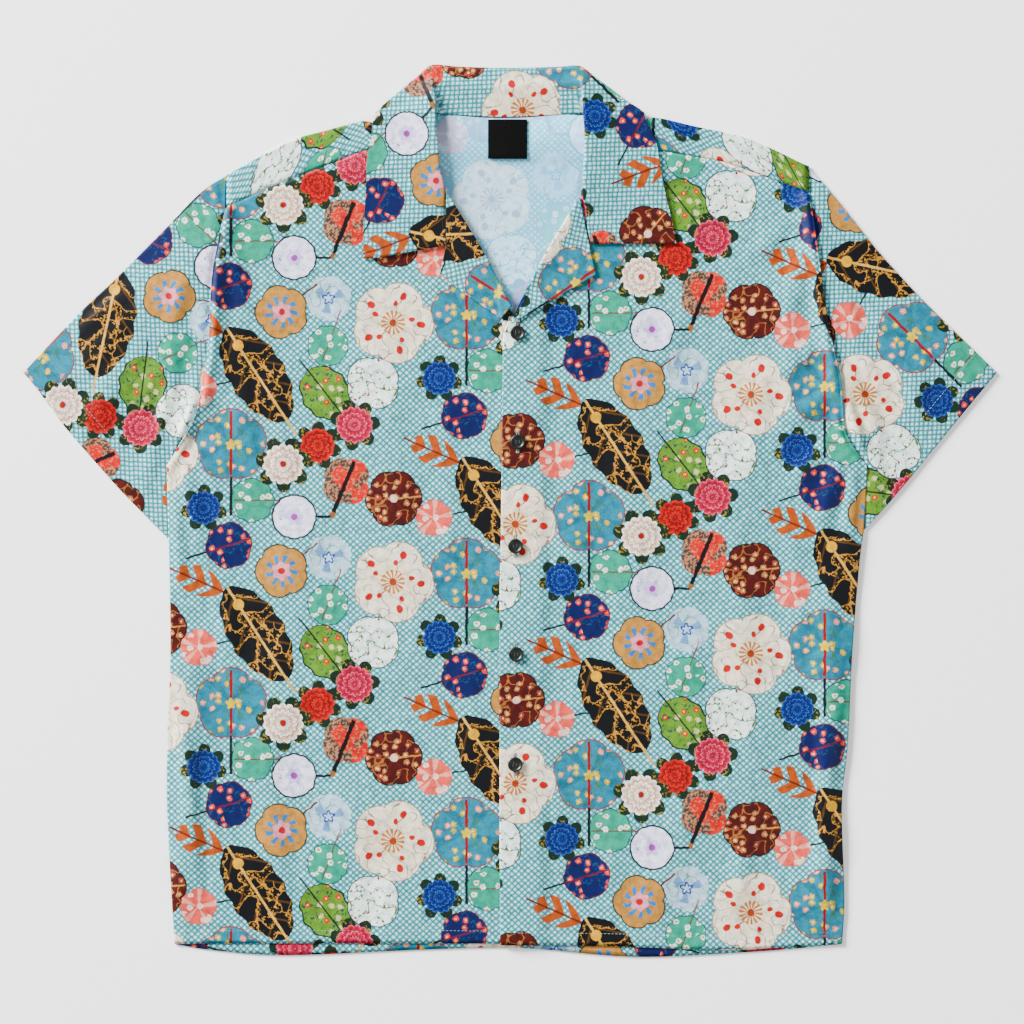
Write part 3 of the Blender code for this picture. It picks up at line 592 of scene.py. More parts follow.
def sectionPoints(section):
    crest, seam, over = (np.array(p) for p in (section.crest, section.seam, section.over))
    crestZ = section.crestZ or float(leafMiddle(*crest))
    seamZ = section.seamZ or float(leafMiddle(*seam))
    inward = (crest - over) / np.linalg.norm(crest - over)
    radius = ((section.foldZ or 0) - layers["bottom"]) / 2
    turning = over + inward * (radius + 0.6)
    fold = np.array([*turning, section.foldZ] if section.wrap else [*over, float(leafMiddle(*over))])
    points = []
    for s in (0, 1 / 3, 2 / 3):
        points.append(np.array([*(seam + (crest - seam) * s), seamZ + (crestZ - seamZ) * s]))
    for s in (0, 1 / 3, 2 / 3):
        xy = crest + (fold[:2] - crest) * s
        points.append(np.array([*xy, crestZ + (fold[2] - crestZ) * ease(s ** 0.7)]))
    points.append(fold)
    if not section.wrap:
        for s in (0.2, 0.4, 0.6, 0.8, 1):
            xy = over + (np.array(section.edge) - over) * s
            points.append(np.array([*xy, float(leafMiddle(*xy))]))
        return np.array(points)
    for share in (0.33, 0.66, 1) if section.edge else (0.2, 0.4, 0.6, 0.8, 1):
        angle = math.radians(section.wrap * share)
        points.append(np.array([*(turning - inward * radius * math.sin(angle)),
                                layers["bottom"] + radius + radius * math.cos(angle)]))
    if section.edge:
        last = points[-1][:2]
        for s in (0.5, 1):
            points.append(np.array([*(last + (np.array(section.edge) - last) * s), layers["bottom"]]))
    return np.array(points)


def makeCollar(materials):
    settings = {"thickness": 0.9, "down": 9, "across": 7, "lowest": 0.55}
    coarse = np.array([sectionPoints(section) for section in collarSections])
    down = places(len(coarse) - 1, settings["down"])
    across = places(coarse.shape[1] - 1, settings["across"])
    rows = refined(coarse, down, across)
    rows[..., 2] = np.maximum(rows[..., 2], settings["lowest"])
    crest = int(np.argmin(np.abs(across - 3)))
    steps = np.linalg.norm(np.diff(rows, axis=1), axis=2)
    length = np.concatenate([np.zeros((len(rows), 1)), np.cumsum(steps, axis=1)], axis=1)
    length -= length[:, crest:crest + 1]
    over = rows[:, int(np.argmin(np.abs(across - 6)))]
    way = unit(over[:, :2] - rows[:, crest, :2])
    unfolded = rows.copy()
    unfolded[..., :2] = rows[:, crest:crest + 1, :2] + way[:, None] * length[..., None]
    made = cloth("shirt_collar", rows, planar(unfolded, 45, (52, 147)), materials,
                 thickness=settings["thickness"])
    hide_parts("collar")
    return made


Lapel = namedtuple("Lapel", "roll gorge lower turn offset")
lapels = {
    "right": Lapel(((-54.0, 270.3), (-38.3, 245.2), (-20.4, 215.5), (1.0, 174.0)),
                   ((-54.0, 270.3), (-54.2, 228.5), (-59.5, 201.5)),
                   ((-59.5, 201.5), (-38.3, 184.9), (-7.5, 164.0)), 58, (11, 171)),
    "left": Lapel(((58.9, 266.5), (46.8, 246.1), (30.6, 219.0), (15.3, 190.5), (4.5, 169.5)),
                  ((58.9, 266.5), (67.4, 226.6), (73.1, 201.0)),
                  ((73.1, 201.0), (36.0, 179.5), (0.5, 158.5)), -56, (93, 12)),
}


def makeLapel(which, materials):
    settings = {"rows": 9, "across": 6, "rise": 2.4, "flatter": 0.75, "sunk": 0.6, "thickness": 0.8}
    lapel = lapels[which]
    middle = upperMiddle if which == "right" else leftFrontMiddle
    roll, lower = evenly(lapel.roll, settings["rows"]), evenly(lapel.lower, settings["rows"])
    first = along(lapel.gorge, np.linspace(0, 1, settings["across"] + 1))
    last = roll[-1] + (lower[-1] - roll[-1]) * np.linspace(0, 1, settings["across"] + 1)[:, None]
    flat = patch(first, last, roll, lower)
    coarse = []
    for j, row in enumerate(flat):
        x, y = row[0]
        start = float(middle(x, y)) - settings["sunk"]
        crest = float(leafMiddle(x, y)) + settings["rise"] * (1 - settings["flatter"] * j / settings["rows"])
        points = [(x, y, start), (x, y, (start + crest) / 2), (x, y, crest)]
        for i in range(1, settings["across"] + 1):
            px, py = row[i]
            level = float(leafMiddle(px, py))
            points.append((px, py, level + (crest - level) * (1 - ease(i / 3))))
        coarse.append(points)
    rows = refined(np.array(coarse), places(settings["rows"], 7), places(settings["across"] + 2, 8))
    unfolded = rows.copy()
    unfolded[..., 0] += (rows[..., 2] - rows[:, -1:, 2]) * (1 if which == "right" else -1)
    made = cloth("shirt_lapel_" + which, rows, planar(unfolded, lapel.turn, lapel.offset), materials,
                 thickness=settings["thickness"])
    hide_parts("facing_" + which)
    return made


def makeLabel(materials):
    settings = {"low": (-18.7, 299.5), "high": (14.5, 333.0), "count": 40, "thickness": 0.45, "above": 0.9}
    steps = np.linspace(0, 1, settings["count"] + 1)
    (left, low), (right, high) = settings["low"], settings["high"]
    x, y = np.meshgrid(left + (right - left) * steps, low + (high - low) * steps)
    z = backMiddle(x, y) + settings["above"]
    z += 0.25 * np.sin((x - left) / (right - left) * math.pi) + 0.35 * (1 - ease((y - low) / 9))
    rows = np.dstack([x, y, z])
    made = cloth("neck_label_woven", rows, planar(rows), materials, thickness=settings["thickness"])
    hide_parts("neck_label")
    return made


Place = namedtuple("Place", "x y turn")
buttonPlaces = (Place(6.4, 151.7, 8), Place(6.6, 59.1, -6), Place(4.5, -29.3, 14), Place(5.1, -121.1, 3),
                Place(4.4, -214.6, -12))
buttonSection = ((0, 0), (5.2, 0), (5.8, 0.25), (6.2, 0.8), (6.35, 1.35), (6.28, 1.85), (6.0, 2.3),
                 (5.6, 2.5), (5.1, 2.5), (4.65, 2.25), (4.3, 1.85), (3.9, 1.6), (3.3, 1.55), (0, 1.55))
buttonHoles = {"off": 1.35, "radius": 0.9}


def clothTop(x, y):
    return frontMiddle("left", np.asarray(x, float), np.asarray(y, float)) + 0.25


def buttonBase(place):
    angles = np.arange(8) * math.pi / 4
    reach = max(r for r, z in buttonSection)
    return clothTop(place.x + reach * np.cos(angles), place.y + reach * np.sin(angles)).max() + 0.25


def turned(section, steps):  # a section turned round the upright axis
    bm = bmesh.new()
    verts = [bm.verts.new((r * mm, 0, z * mm)) for r, z in section]
    edges = [bm.edges.new(pair) for pair in zip(verts, verts[1:])]
    bmesh.ops.spin(bm, geom=verts + edges, cent=(0, 0, 0), axis=(0, 0, 1), angle=2 * math.pi, steps=steps,
                   use_merge=True)
    bmesh.ops.remove_doubles(bm, verts=bm.verts, dist=1e-6)
    bmesh.ops.recalc_face_normals(bm, faces=bm.faces)
    return bm


def cutHoles(made):  # four thread holes through the dish
    bm = bmesh.new()
    off, radius = buttonHoles["off"], buttonHoles["radius"] * mm
    for x in (-off, off):
        for y in (-off, off):
            cone = bmesh.ops.create_cone(bm, cap_ends=True, segments=20, radius1=radius, radius2=radius,
                                         depth=6 * mm)
            bmesh.ops.translate(bm, verts=cone["verts"], vec=Vector((x, y, 1)) * mm)
    cutter = addObject("cutter", bpy.data.meshes.new("cutter"), bm, [], shade=False)
    holes = made.modifiers.new("Holes", "BOOLEAN")
    holes.object = cutter
    cut = bpy.data.meshes.new_from_object(made.evaluated_get(bpy.context.evaluated_depsgraph_get()))
    made.modifiers.clear()
    made.data = cut
    bpy.data.objects.remove(cutter)


def makeButton(number, place, material):
    made = addObject(f"shirt_button_{number}", bpy.data.meshes.new("button"), turned(buttonSection, 56),
                     [material])
    cutHoles(made)
    made.data.set_sharp_from_angle(angle=math.radians(50))
    made.data.transform(Matrix.Translation(Vector((place.x, place.y, buttonBase(place))) * mm)
                        @ Matrix.Rotation(math.radians(place.turn), 4, "Z"))
    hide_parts(f"button_{number}")
    return made


Stitch = namedtuple("Stitch", "place way length width")


def stitching(name, stitches, material, segments=7):  # every stitch is a small rounded bead of thread
    whole, part = bmesh.new(), bpy.data.meshes.new(name)
    for start in range(0, len(stitches), 40):  # a few at a time, because a growing mesh is slow to add to
        bm = bmesh.new()
        for stitch in stitches[start:start + 40]:
            made = bmesh.ops.create_uvsphere(bm, u_segments=segments, v_segments=6, radius=0.5)
            way = Vector(stitch.way).normalized()
            turn = Vector((0, 0, 1)).rotation_difference(way).to_matrix().to_4x4()
            size = Matrix.Diagonal((stitch.width * mm, stitch.width * mm, stitch.length * mm, 1))
            bmesh.ops.transform(bm, matrix=Matrix.Translation(Vector(stitch.place) * mm) @ turn @ size,
                                verts=made["verts"])
        bm.to_mesh(part)
        bm.free()
        whole.from_mesh(part)
    return addObject(name, part, whole, [material])


def lineStitches(line, level):  # a row of topstitching along a line on the cloth
    settings = {"length": 2.3, "width": 0.32}
    ends = along(line, np.linspace(0, 1, int(lengthsOf(line)[-1] / hemStitch["pitch"]) + 1))
    middles, ways = (ends[1:] + ends[:-1]) / 2, unit(np.diff(ends, axis=0))
    low, middle, high = (level(*(middles + ways * step).T) for step in (-1, 0, 1))
    return [Stitch((*place, z), (*way, rise), settings["length"], settings["width"])
            for place, z, way, rise in zip(middles, middle, ways, (high - low) / 2)]


def makeHemStitches(material):
    found, up = [], np.array([0, hemStitch["body"] - hemStitch["inside"]])
    for which, hem, start, end in (("right", frontHemLeft, -283, -11), ("left", frontHemRight, -6, 280)):
        line = smoothLine(hem)
        line = line[np.argsort(line[:, 0])]
        line = line[(line[:, 0] > start) & (line[:, 0] < end)] + up
        found += lineStitches(line, lambda x, y, which=which: frontMiddle(which, x, y) + 0.24)
    line = smoothLine(backHem)
    line = line[(line[:, 0] > -283) & (line[:, 0] < 280)] + up
    found += lineStitches(line, lambda x, y: 0.3 + 0 * x)
    return stitching("hem_stitching", found, material)


def sleeveLevel(which, xs, ys):
    made = bpy.data.objects["shirt_sleeve_" + which]
    levels = []
    for x, y in zip(xs, ys):
        hit, place, normal, face = made.ray_cast(Vector((x * mm, y * mm, 0.03)), Vector((0, 0, -1)))
        levels.append(place.z / mm + 0.26 if hit else 2.0)
    return np.array(levels)


def makeCuffStitches(which, material):
    sign = -1 if which == "left" else 1
    line = beside(smoothLine(cuffs[which]), sign * (hemStitch["sleeve"] - hemStitch["inside"]))
    edges = (smoothLine(sleeveTops[which]), np.array([cuffs[which][-1], underarms[which]]))
    inside = np.all([distanceTo(edge, line[:, 0], line[:, 1]) > 1.5 for edge in edges], axis=0)
    found = lineStitches(line[inside], lambda x, y: sleeveLevel(which, x, y))
    return stitching("cuff_stitching_" + which, found, material)


def makeButtonholes(material):
    settings = {"length": 17.0, "pitch": 0.62, "apart": 0.85, "bar": 3.3}
    found = []
    for place in buttonPlaces:
        low = place.y - settings["length"] / 2
        ys = np.arange(low, low + settings["length"], settings["pitch"])
        for side in (-1, 1):
            x = place.x + side * settings["apart"]
            found += [Stitch((x, y, z), (1, 0.12 * side, 0), 1.35, 0.62)
                      for y, z in zip(ys, clothTop(x + 0 * ys, ys))]
        for end in (low - 0.4, low + settings["length"] + 0.2):
            level = float(clothTop(place.x, end)) + 0.05
            found += [Stitch((place.x, end + step, level), (1, 0, 0), settings["bar"], 0.7)
                      for step in (-0.4, 0.1, 0.6)]
    return stitching("buttonhole_stitching", found, material, segments=6)


def makeSlitShade(material):
    # each buttonhole's cut is drawn as a near-black bead sunk into the cloth: a painted shadow in the slit
    found = [Stitch((p.x, p.y, float(clothTop(p.x, p.y)) - 0.1), (0, 1, 0), 16.4, 0.5) for p in buttonPlaces]
    return stitching("buttonhole_slit_shade", found, material)


def makeButtonThread(material):
    found = []
    for place in buttonPlaces:
        level = buttonBase(place) + 1.62
        turn = math.radians(place.turn)
        for side in (-buttonHoles["off"], buttonHoles["off"]):
            for strand in (-0.14, 0.14):
                x = place.x + (side + strand) * math.cos(turn)
                y = place.y + (side + strand) * math.sin(turn)
                found.append(Stitch((x, y, level), (-math.sin(turn), math.cos(turn), 0), 3.3, 0.3))
        found.append(Stitch((place.x, place.y, level - 1.7), (0, 0, 1), 1.6, 2.4))
    return stitching("button_thread", found, material, segments=10)


class Num:  # a shader socket that takes ordinary arithmetic
    def __init__(self, graph, socket):
        self.graph, self.socket = graph, socket

    def maths(self, operation, *others, clamp=False):
        return self.graph.node("ShaderNodeMath", {"operation": operation, "use_clamp": clamp}, self, *others)

    def __add__(self, other):
        return self.maths("ADD", other)

    def __sub__(self, other):
        return self.maths("SUBTRACT", other)

    def __rsub__(self, other):
        return self.graph.node("ShaderNodeMath", {"operation": "SUBTRACT"}, other, self)

    def __mul__(self, other):
        return self.maths("MULTIPLY", other)

    def __pow__(self, other):
        return self.maths("POWER", other)

    __radd__, __rmul__ = __add__, __mul__

    def size(self):
        return self.maths("ABSOLUTE")

    def clamped(self):
        return self.maths("MULTIPLY", 1, clamp=True)

    def sin(self):
        return self.maths("SINE")

    def cos(self):
        return self.maths("COSINE")


def tone(code):  # a colour as it should look, made linear, and deeper for the soft view transform
    parts = [int(code[i:i + 2], 16) / 255 for i in (0, 2, 4)]
    parts = [p / 12.92 if p < 0.04 else ((p + 0.055) / 1.055) ** 2.4 for p in parts]
    grey, strength = sum(parts) / 3, 0.97 * (1 - 0.45 * (max(parts) - min(parts)))
    return (*[strength * max(grey + (p - grey) * 1.22, 0.0005) ** 1.62 for p in parts], 1)


class Graph:
    dimensions = "3D"

    def __init__(self, name):
        self.material = bpy.data.materials.new(name)
        self.material.use_nodes = True
        self.tree = self.material.node_tree
        self.shader = self.tree.nodes["Principled BSDF"]

    def node(self, kind, settings, *values, out=0, **named):
        made = self.tree.nodes.new(kind)
        for key, value in settings.items():
            setattr(made, key, value)
        for slot, value in [*enumerate(values), *named.items()]:
            self.feed(made.inputs[slot], value)
        return Num(self, made.outputs[out])

    def feed(self, socket, value):
        if isinstance(value, Num):
            self.tree.links.new(value.socket, socket)
        else:
            socket.default_value = value

    def vector(self, operation, *values, out=0):
        return self.node("ShaderNodeVectorMath", {"operation": operation}, *values, out=out)

    def dot(self, place, way):
        return self.vector("DOT_PRODUCT", place, way, out="Value")

    def ramp(self, value, low, high, start=0.0, end=1.0):
        return self.node("ShaderNodeMapRange", {}, value, low, high, start, end)

    def noise(self, place, scale, detail, **more):
        return self.node("ShaderNodeTexNoise", {"noise_dimensions": self.dimensions}, Vector=place,
                         Scale=scale, Detail=detail, **more)

    def mix(self, share, under, over, blend="MIX"):
        made = self.tree.nodes.new("ShaderNodeMix")
        made.data_type, made.blend_type = "RGBA", blend
        for slot, value in ((0, share), (6, under), (7, over)):
            self.feed(made.inputs[slot], value)
        return Num(self, made.outputs[2])

    def finish(self, **values):
        for name, value in values.items():
            self.feed(self.shader.inputs[name.replace("_", " ")], value)
        return self.material


# the print's repeat and the softness of its edges in millimetres, and each motif's share of its charted size
repeat = {"across": 200.0, "drop": 110.0, "down": 220.0, "blur": 0.75, "size": 0.94}


class Painter(Graph):  # lays motifs over one another; each repeats with the print
    dimensions = "2D"

    def __init__(self, name):
        super().__init__(name)
        uv = self.node("ShaderNodeUVMap", {"uv_map": "print"})
        self.flat = self.vector("MULTIPLY", uv, (1 / mm, 1 / mm, 0))
        jitter = self.noise(self.flat, 0.16, 1.0)  # moves the edges a little, as a hand would
        shift = self.node("ShaderNodeCombineXYZ", {}, jitter * 1.6, jitter * -1.3)
        self.flat = self.vector("ADD", self.flat, shift)
        a, b, c = repeat["across"], repeat["drop"], repeat["down"]
        s, t = self.dot(self.flat, (1 / a, 0, 0)), self.dot(self.flat, (-b / (a * c), 1 / c, 0))
        self.cells = self.node("ShaderNodeCombineXYZ", {}, s, t)
        inCell = self.vector("FRACTION", self.cells)
        self.cellPlace = self.node("ShaderNodeCombineXYZ", {}, self.dot(inCell, (a, 0, 0)),
                                   self.dot(inCell, (b, c, 0)))
        self.colour = None

    def spot(self, x, y, size, turn):  # where this point is, seen from a motif
        a, b, c = repeat["across"], repeat["drop"], repeat["down"]
        size *= repeat["size"]
        s, t = x / a, (y - b * x / a) / c
        near = self.vector("WRAP", self.vector("SUBTRACT", self.cells, (s, t, 0)), (0.5, 0.5, 0.5),
                           (-0.5, -0.5, -0.5))
        cos, sin = math.cos(math.radians(turn)) / size, math.sin(math.radians(turn)) / size
        self.scale = size
        self.x = self.dot(near, (a * cos + b * sin, c * sin, 0))
        self.y = self.dot(near, (-a * sin + b * cos, c * cos, 0))
        self.r = self.y.maths("MULTIPLY_ADD", self.y, self.x * self.x).maths("SQRT")
        self.angle = self.y.maths("ARCTAN2", self.x)

    def mask(self, inside, blur=1.0):  # 1 where the value is above nought, with a soft edge
        return inside.maths("MULTIPLY_ADD", self.scale / repeat["blur"] / blur, 0.5, clamp=True)

    def below(self, value, limit):  # the same for a value under a plain limit
        sharp = self.scale / repeat["blur"]
        return value.maths("MULTIPLY_ADD", -sharp, limit * sharp + 0.5, clamp=True)

    def paint(self, mask, colour, share=None):
        if share is not None:
            mask = mask * share
        self.colour = self.mix(mask, self.colour, tone(colour) if isinstance(colour, str) else colour)

    def petals(self, count):
        return (self.angle * count).cos()

    def lobes(self, count, depth, phase=0.0):
        wave = self.angle.maths("MULTIPLY_ADD", count / 2, phase).cos().size()
        return wave.maths("SQRT").maths("MULTIPLY_ADD", depth, 1 - depth)

    def stem(self, start, end, width, colour):
        middle, half = (start + end) / 2, (end - start) / 2
        self.paint(self.below(self.y.size(), width) * self.below((self.x - middle).size(), half), colour)

    def body(self, radius, colour, rim=None, width=0.05):
        reach = radius - self.r
        if rim:
            self.paint(self.mask(reach + width), rim)
        inside = self.mask(reach)
        self.paint(inside, colour)
        return inside


def layGround(p):  # small pale lozenges in a soft teal net, darker where its lines cross
    perMm = {"x": 0.178, "y": 0.192}
    across, down = (p.dot(p.flat, (x, perMm["y"], 0)).maths("PINGPONG", 0.5) * 2
                    for x in (perMm["x"], -perMm["x"]))
    middle = (1 - across * across) * (1 - down * down)
    mottle = p.noise(p.flat, 0.42, 2.0)
    pale = p.node("ShaderNodeMapRange", {"interpolation_type": "SMOOTHSTEP"},
                  middle + mottle * 0.3, 0.42, 1.12)
    p.colour = p.mix(pale, tone("6aa9ae"), tone("d6f2f5"))
    cross = p.ramp(across * down, 0.62, 0.90)
    p.paint(cross, "468c90", 0.75)


def layMotifs(p):
    grain = p.noise(p.cellPlace, 0.075, 0.6)
    fine = p.noise(p.cellPlace, 0.42, 1.0)
    twigs = p.ramp((grain + fine * 0.03 - 0.5).size(), 0.006, 0.022, 1.0, 0.0)
    near = p.ramp((grain - 0.53).size(), 0.03, 0.08, 1.0, 0.0)
    leaflets = near * p.ramp(fine, 0.53, 0.58)
    cell = p.node("ShaderNodeTexVoronoi", {"voronoi_dimensions": "2D"}, Vector=p.cellPlace, Scale=0.12)
    distance = cell + fine * 0.3
    chance = p.node("ShaderNodeSeparateColor", {}, Num(p, cell.socket.node.outputs["Color"]))
    blossoms = p.ramp(distance + chance.maths("LESS_THAN", 0.3), 0.40, 0.47, 1.0, 0.0)
    hearts = blossoms * p.ramp(distance, 0.22, 0.28, 1.0, 0.0)
    some = chance.maths("GREATER_THAN", 0.62)

    def blooms(inside, colour, heart, other=None):
        p.paint(inside * blossoms, colour, 0.95)
        if other:
            p.paint(inside * blossoms * some, other, 0.95)
        p.paint(inside * hearts, heart)

    # a pale blue-grey flower with soft petals and line-drawn leaves
    p.spot(46.8, 70.3, 20.5, 20)
    inside = p.body(p.lobes(7, 0.10), "cbdbe4")
    p.paint(inside * twigs, "6fa48f", 0.8)
    p.paint(p.mask(0.24 - (p.r - 0.42).size()) * p.petals(3).maths("GREATER_THAN", 0.55), "98b4cf")
    p.paint(p.mask(0.045 - (p.r - 0.20 - p.petals(5) * 0.06).size()), "3555b0")

    # palm frond, orange-brown ribs
    p.spot(135.9, 160.6, 26, -24)
    ribs = (p.x * 10 + p.y.size() * 9).sin()
    shape = p.mask((1 - p.x * p.x) * 0.52 - p.y.size()) * p.mask(ribs + 0.35, 4)
    p.paint(shape, "c07a44")
    p.stem(-1.15, 1.0, 0.035, "8d4a26")

    # tan flower with blue and pink
    p.spot(6.9, 58.9, 23.5, 38)
    p.stem(0.9, 1.75, 0.035, "7b4536")
    inside = p.body(p.lobes(5, 0.16), "cda873", "3a2c26")
    p.paint(inside * p.mask((p.angle * 9 + p.r * 4).sin() - 0.1, 6) * p.below(p.r, 0.62), "5f9fcb")
    p.paint(p.mask(0.34 + p.petals(6) * 0.05 - p.r), "e9b7bf")
    p.paint(p.below(p.r, 0.13), "c8374a")

    # mint flowers with dark outlines
    for x, y, size, turn in ((181.7, 228.9, 19.5, 0), (46.2, 30.1, 18, 70)):
        p.spot(x, y, size, turn)
        p.stem(0.9, 1.9, 0.035, "a0522f")
        inside = p.body(p.lobes(8, 0.09), "58b8a4", "2c5f5c")
        p.paint(inside, "3f9f8c", 0.5 - p.r * 0.4)
        p.stem(-0.85, 1.0, 0.03, "8a5a3a")
        blooms(inside, "eef2ee", "e0b040")

    # coral flower with pale lines
    p.spot(136.1, 103.8, 16.5, 12)
    p.stem(0.9, 2.2, 0.05, "243038")
    inside = p.body(p.lobes(5, 0.13), "f18f84", "d9695f", 0.03)
    p.paint(inside * p.mask(p.petals(5) * 0.5 - 0.34, 3), "f9c9bf", 0.8)
    blooms(inside, "fbe3dc", "c8d8c8")

    # maroon flower, tan blossoms
    p.spot(102.1, 120.3, 25, 5)
    inside = p.body(p.lobes(6, 0.13), "672c27", "3c1c1c")
    p.paint(inside * p.petals(6).clamped(), "7d3a31", 0.6)
    p.paint(inside * twigs, "c69a6b", 0.7)
    blooms(inside, "c99b77", "f0d8b0", "a8655a")
    p.stem(-0.2, 1.0, 0.025, "d2ad7a")
    p.paint(p.below(p.r, 0.14), "e7d0c8")

    # vermilion and grey-brown tulip tree flower with a dark stick
    p.spot(61.7, 135.2, 22.5, 68)
    inside = p.body(p.lobes(4, 0.20, 1.0), "6f625d")
    p.paint(inside * p.mask(grain - 0.48, 0.35), "e2452b")
    p.paint(inside * p.mask(fine - grain * 0.3 - 0.40, 0.3), "c9a58c", 0.8)
    p.stem(-1.55, 0.85, 0.085, "17222b")
    p.stem(-1.6, -1.35, 0.085, "b48350")

    # olive leaf with a dark outline and small mixed flowers
    p.spot(44.2, 210.0, 26, 128)
    half = (1 - p.x * p.x).maths("MAXIMUM", 0.0) ** 0.55 * 0.78 + (p.x * 11).sin() * 0.035
    p.paint(p.mask(half + 0.06 - p.y.size()) * p.below(p.x.size(), 1.05), "1f2c38")
    inside = p.mask(half - p.y.size()) * p.below(p.x.size(), 0.99)
    p.paint(inside, "86a556")
    p.paint(inside * leaflets, "2c5a6a", 0.85)
    blooms(inside, "d8563c", "f3e2a0", "c9d3a8")
    p.stem(-1.0, 1.5, 0.028, "26303a")

    # navy flower with a dark-red outline and coral blossoms
    p.spot(162.0, 190.6, 20.5, 17)
    p.stem(-2.0, -0.9, 0.045, "20262e")
    inside = p.body(p.lobes(6, 0.09), "16386f", "7d2430")
    p.paint(inside * leaflets, "3f6f8c", 0.7)
    blooms(inside, "ef7c6c", "fbd0b4")
    p.stem(-0.95, 0.95, 0.03, "8d3b3f")

    # white flower with a dark outline, green vine and red buds
    p.spot(84.4, 218.1, 24, 45)
    p.stem(-1.7, -0.9, 0.05, "1f2a33")
    inside = p.body(p.lobes(4, 0.13), "eef5f0", "27323b", 0.045)
    p.paint(inside * twigs, "3c5a35", 0.9)
    p.paint(inside * leaflets, "5f8d58")
    p.paint(inside * hearts, "b8323c")

    # round white flower: dark rim, violet specks
    p.spot(17.5, 104.9, 19, 0)
    p.stem(0.9, 1.75, 0.06, "1d252e")
    inside = p.body(p.lobes(12, 0.04), "eceaf6", "1d2430", 0.085)
    p.paint(p.mask(0.09 - (p.r - 0.70).size()) * leaflets, "9a7ccb")
    p.paint(p.mask(0.38 + p.petals(6) * 0.07 - p.r), "dcd2ee")
    p.paint(p.below(p.r, 0.16), "b46fb4")

    # near-black leaf with gold twigs
    p.spot(185.8, 115.9, 50, -57)
    half = (1 - p.x * p.x).maths("MAXIMUM", 0.0) ** 0.6 * 0.50 + (p.x * 16).sin() * 0.02
    inside = p.mask(half - p.y.size()) * p.below(p.x.size(), 0.99)
    p.paint(inside, "0d1a26")
    veins = (p.x * 14 - p.y.size() * 13).sin()
    p.paint(inside * p.mask(veins - 0.95, 8), "8a6c3c", 0.6)
    p.paint(inside * twigs, "cfa868")
    p.paint(inside * leaflets, "d6b06c")
    p.stem(-0.98, 1.3, 0.02, "e9c98a")
    p.paint(p.mask(0.10 - ((p.x + 0.62) * (p.x + 0.62) + p.y * p.y).maths("SQRT")), "f0c95c")

    # large turquoise hibiscus, red outline, yellow and pink blossoms
    p.spot(163.9, 276.1, 32, 90)
    p.stem(-2.0, -0.9, 0.04, "1d2b35")
    inside = p.body(p.lobes(5, 0.16), "00a0b2", "a2343a", 0.035)
    p.paint(inside * p.mask((p.angle * 2.5).sin().size() - 0.90, 2), "008c9e", 0.8)
    p.paint(inside * twigs, "6f8f5a", 0.9)
    blooms(inside, "e6cf52", "fff2c0", "f3b3ae")
    p.stem(-0.85, 0.95, 0.04, "a5343a")
    p.paint(p.mask(0.13 + p.petals(5) * 0.03 - p.r), "f2dc4e")

    # cream hibiscus with red buds on brown twigs
    p.spot(101.3, 269.7, 36.5, 140)
    inside = p.body(p.lobes(5, 0.19), "f4ede0", "b98c5c", 0.02)
    p.paint(inside, "e2d3b6", 0.62 - p.r * 0.75)
    p.paint(inside * twigs, "6b5a4c", 0.8)
    sector = p.angle.maths("WRAP", math.pi / 5, -math.pi / 5)
    for reach, size, shift in ((0.70, 0.105, 0.0), (0.48, 0.075, 0.24)):
        turn = sector - shift
        off = p.r * turn.sin()
        out = p.r * turn.cos() - reach
        p.paint(p.mask(size - (off * off * 1.5 + out * out).maths("SQRT")), "cf2f2a")
    ribs = (p.angle * 14).sin()
    p.paint(p.below(p.r, 0.30) * p.mask(ribs + 0.1, 5), "cf9a66")
    p.paint(p.below(p.r, 0.09), "b0652f")

    # peonies with dark leaves
    peonies = (
        (68.8, 182.9, 16.5, 20, ("9e1c4c", "e04a80", "f7a3b8"), 5, None),
        (37.3, 165.5, 15.5, 50, ("7c0a12", "dc1c22", "f0483c"), 4, None),
        (140.8, 222.5, 15.0, 0, ("0c2a5c", "1b5ba4", "5f9cd2"), 5, None),
        (8.3, 149.6, 18.0, 80, ("cfa77c", "f3efe9", "ffffff"), 5, "b8452f"),
    )
    for x, y, size, turn, colours, count, heart in peonies:
        p.spot(x, y, size, turn)
        leaf = p.lobes(7, 0.55, 0.9) * 1.42
        inside = p.body(leaf, "2c4a3a")
        p.paint(inside * leaflets, "b5a566", 0.8)
        wave = (p.angle * count * 1.5).sin().size()
        ring = p.r * 3.1 - wave * 0.42 + fine * 0.5
        shade = ring.maths("FRACT")
        inside = p.mask(0.92 + wave * 0.1 - p.r)
        p.paint(inside, p.mix(shade, tone(colours[0]), tone(colours[1])))
        p.paint(inside * (shade * 4 - 3).clamped(), colours[2])
        if heart:
            p.paint(p.below(p.r, 0.16), heart)


def printMaterial():
    p = Painter("print")
    layGround(p)
    layMotifs(p)
    cloudy = p.ramp(p.noise(p.flat, 0.16, 4.0), 0.38, 0.72, 0.0, 0.5)
    colour = p.mix(cloudy, p.colour, tone("a9bfc2"), "MULTIPLY")
    speckle = p.ramp(p.noise(p.flat, 1.1, 2.0), 0.45, 0.7, 0.0, 0.45)
    colour = p.mix(speckle, colour, tone("a4b8ba"), "MULTIPLY")
    warp = p.dot(p.flat, (14, 0, 0)).sin()
    weft = p.dot(p.flat, (0, 12, 0)).sin()
    height = warp * weft * 0.02 + p.noise(p.flat, 0.07, 2.0) * 0.9
    bump = p.node("ShaderNodeBump", {}, 0.5, 0.001, Height=height)
    return p.finish(Base_Color=colour, Normal=bump, Roughness=0.5, Specular_IOR_Level=0.16)


